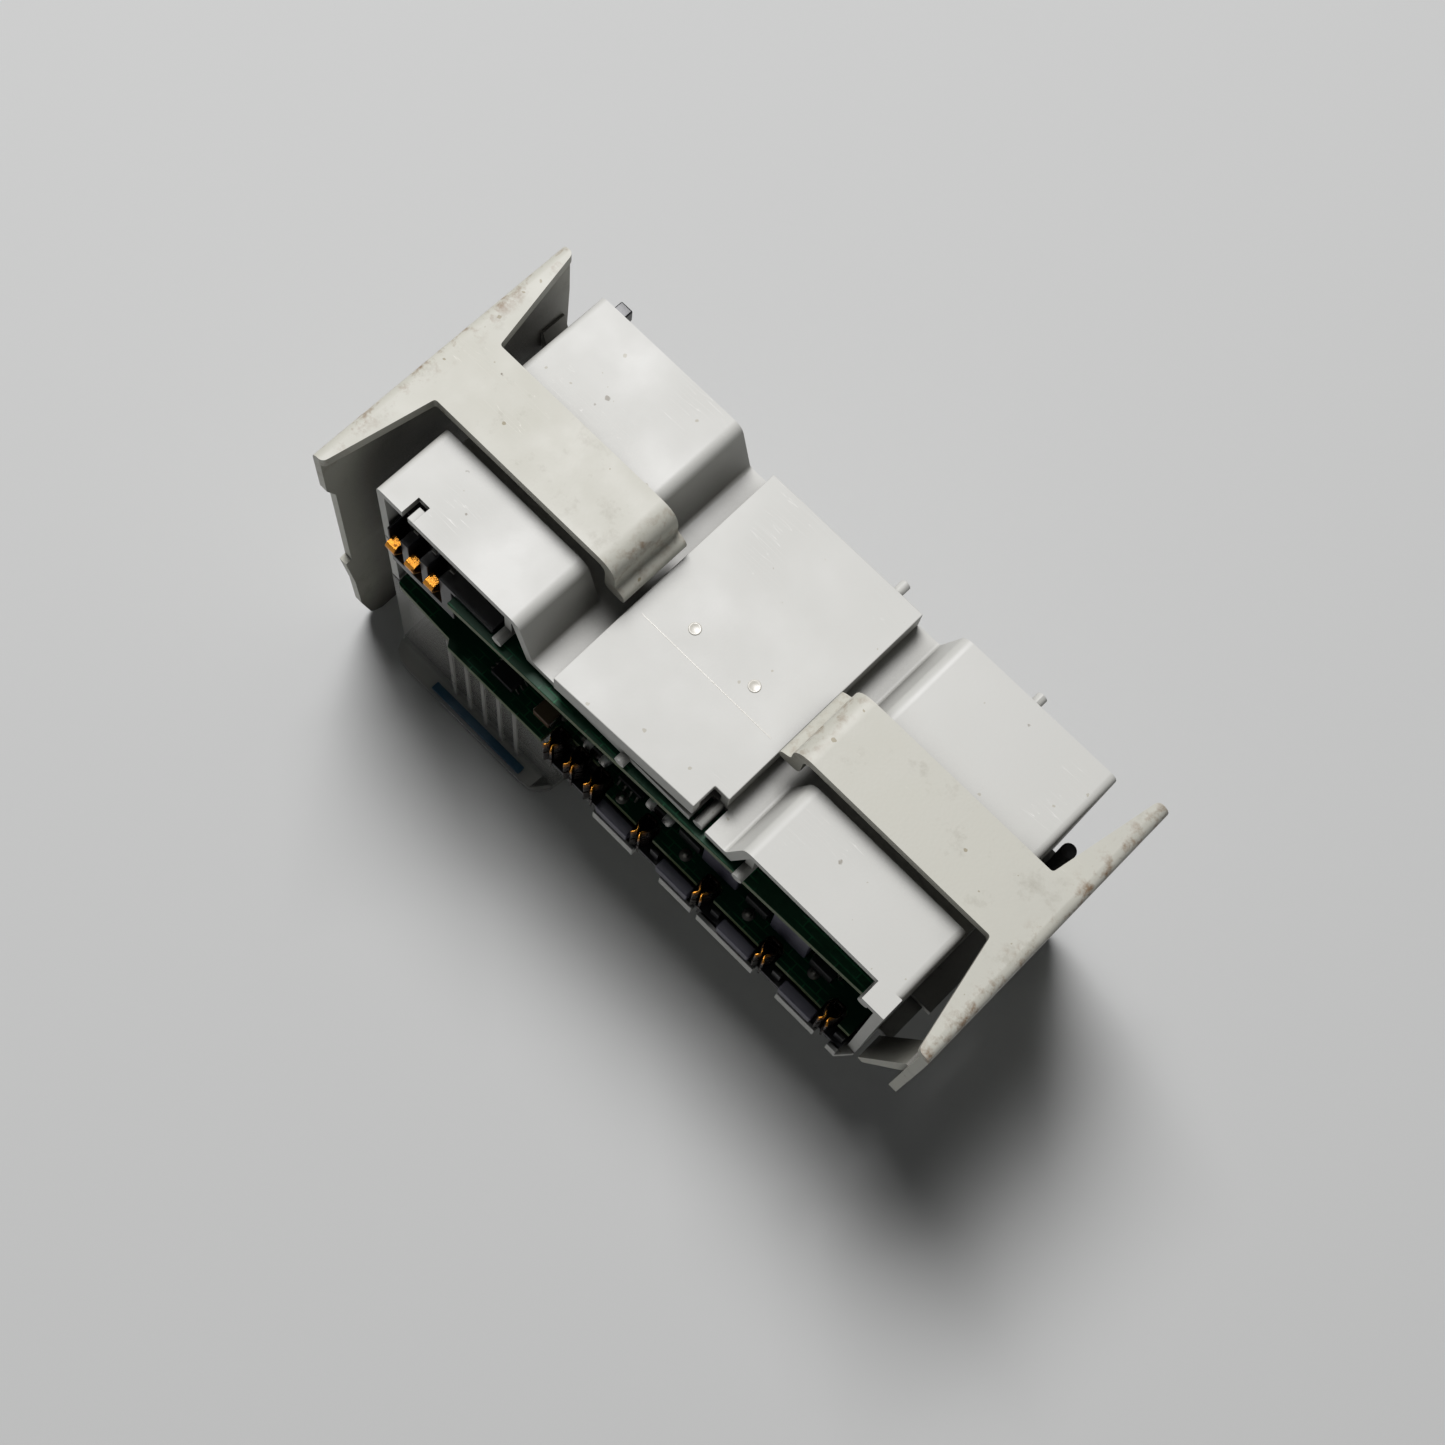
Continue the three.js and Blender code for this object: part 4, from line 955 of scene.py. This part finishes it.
# %% Snap tongue, ejector marks and witness line
cover_high = box_mm("rail_side_cover")[1]
PEG_REACH = 2.2                          # mm, the pegs stand out this far beyond the far side
COVER_WIDTH = 44.8                       # mm, from the far side to the cover's open edge
near_lip = cover_high.y - PEG_REACH - COVER_WIDTH
TONGUE_X = (-45.3, -43.7)                # mm
mesh = bmesh.new()
brick(mesh, (TONGUE_X[0], near_lip + 0.1, cover_high.z - 2.2),
      (TONGUE_X[1], near_lip + 2.6, cover_high.z - 0.7))
new_piece("snap_tongue", mesh, cover_plastic, "housing", 0.15)
MARK = [(0, -0.05), (1.0, -0.05), (1.0, 0.04), (0.85, 0.08), (0.7, 0.03), (0, 0.02)]
MARK_X = (-6.1, 5.9)                     # mm
MARK_Y = -2.3                            # mm
mesh = bmesh.new()
for x in MARK_X:
    turned(mesh, MARK, (x, MARK_Y, pad_high.z))
new_piece("ejector_marks", mesh, button_grey)
LINE_HALF = 13.0                         # mm, half its length
LINE_Y = (-6.25, -6.1)                   # mm, its two sides
mesh = bmesh.new()
brick(mesh, (-LINE_HALF, LINE_Y[0], pad_high.z - 0.05), (LINE_HALF, LINE_Y[1], pad_high.z + 0.03))
new_piece("pad_witness_line", mesh, button_grey, "housing", 0.02)

# %% [markdown]
# Behind each bus spring the tail of its strip comes up through the black carrier and is nipped off with a
# bent tip. It is tin plated for soldering, not gold, so it gets the dull finish of the legs.

# %% Tinned tails beside the bus springs
carrier_low, carrier_high = box_mm("bus_contact_carrier")
TAILS = ((-46.0, 2.6), (-41.9, 2.4), (-37.9, 2.2))  # mm: X, and how far in from the carrier's near side
TAIL_WIDTH = 0.9                         # mm
mesh = bmesh.new()
for x, inward in TAILS:
    start = Vector((x, carrier_low.y + inward, carrier_high.z - 0.5))
    path = [start, start + Vector((0, 0, 0.9)), start + Vector((0.25, -0.25, 1.15))]
    ribbon(mesh, path, (1, 0, 0), TAIL_WIDTH, SPRING_SHEET)
new_piece("bus_tail_tips", mesh, dull_tin, "housing", 0.05)

# %% [markdown]
# The last cell measures the finished scene and prints this model's box.

# %% Print the size and finish
low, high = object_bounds()
print("visual box, mm:", [round(v / MM, 1) for v in (*low, *high)])
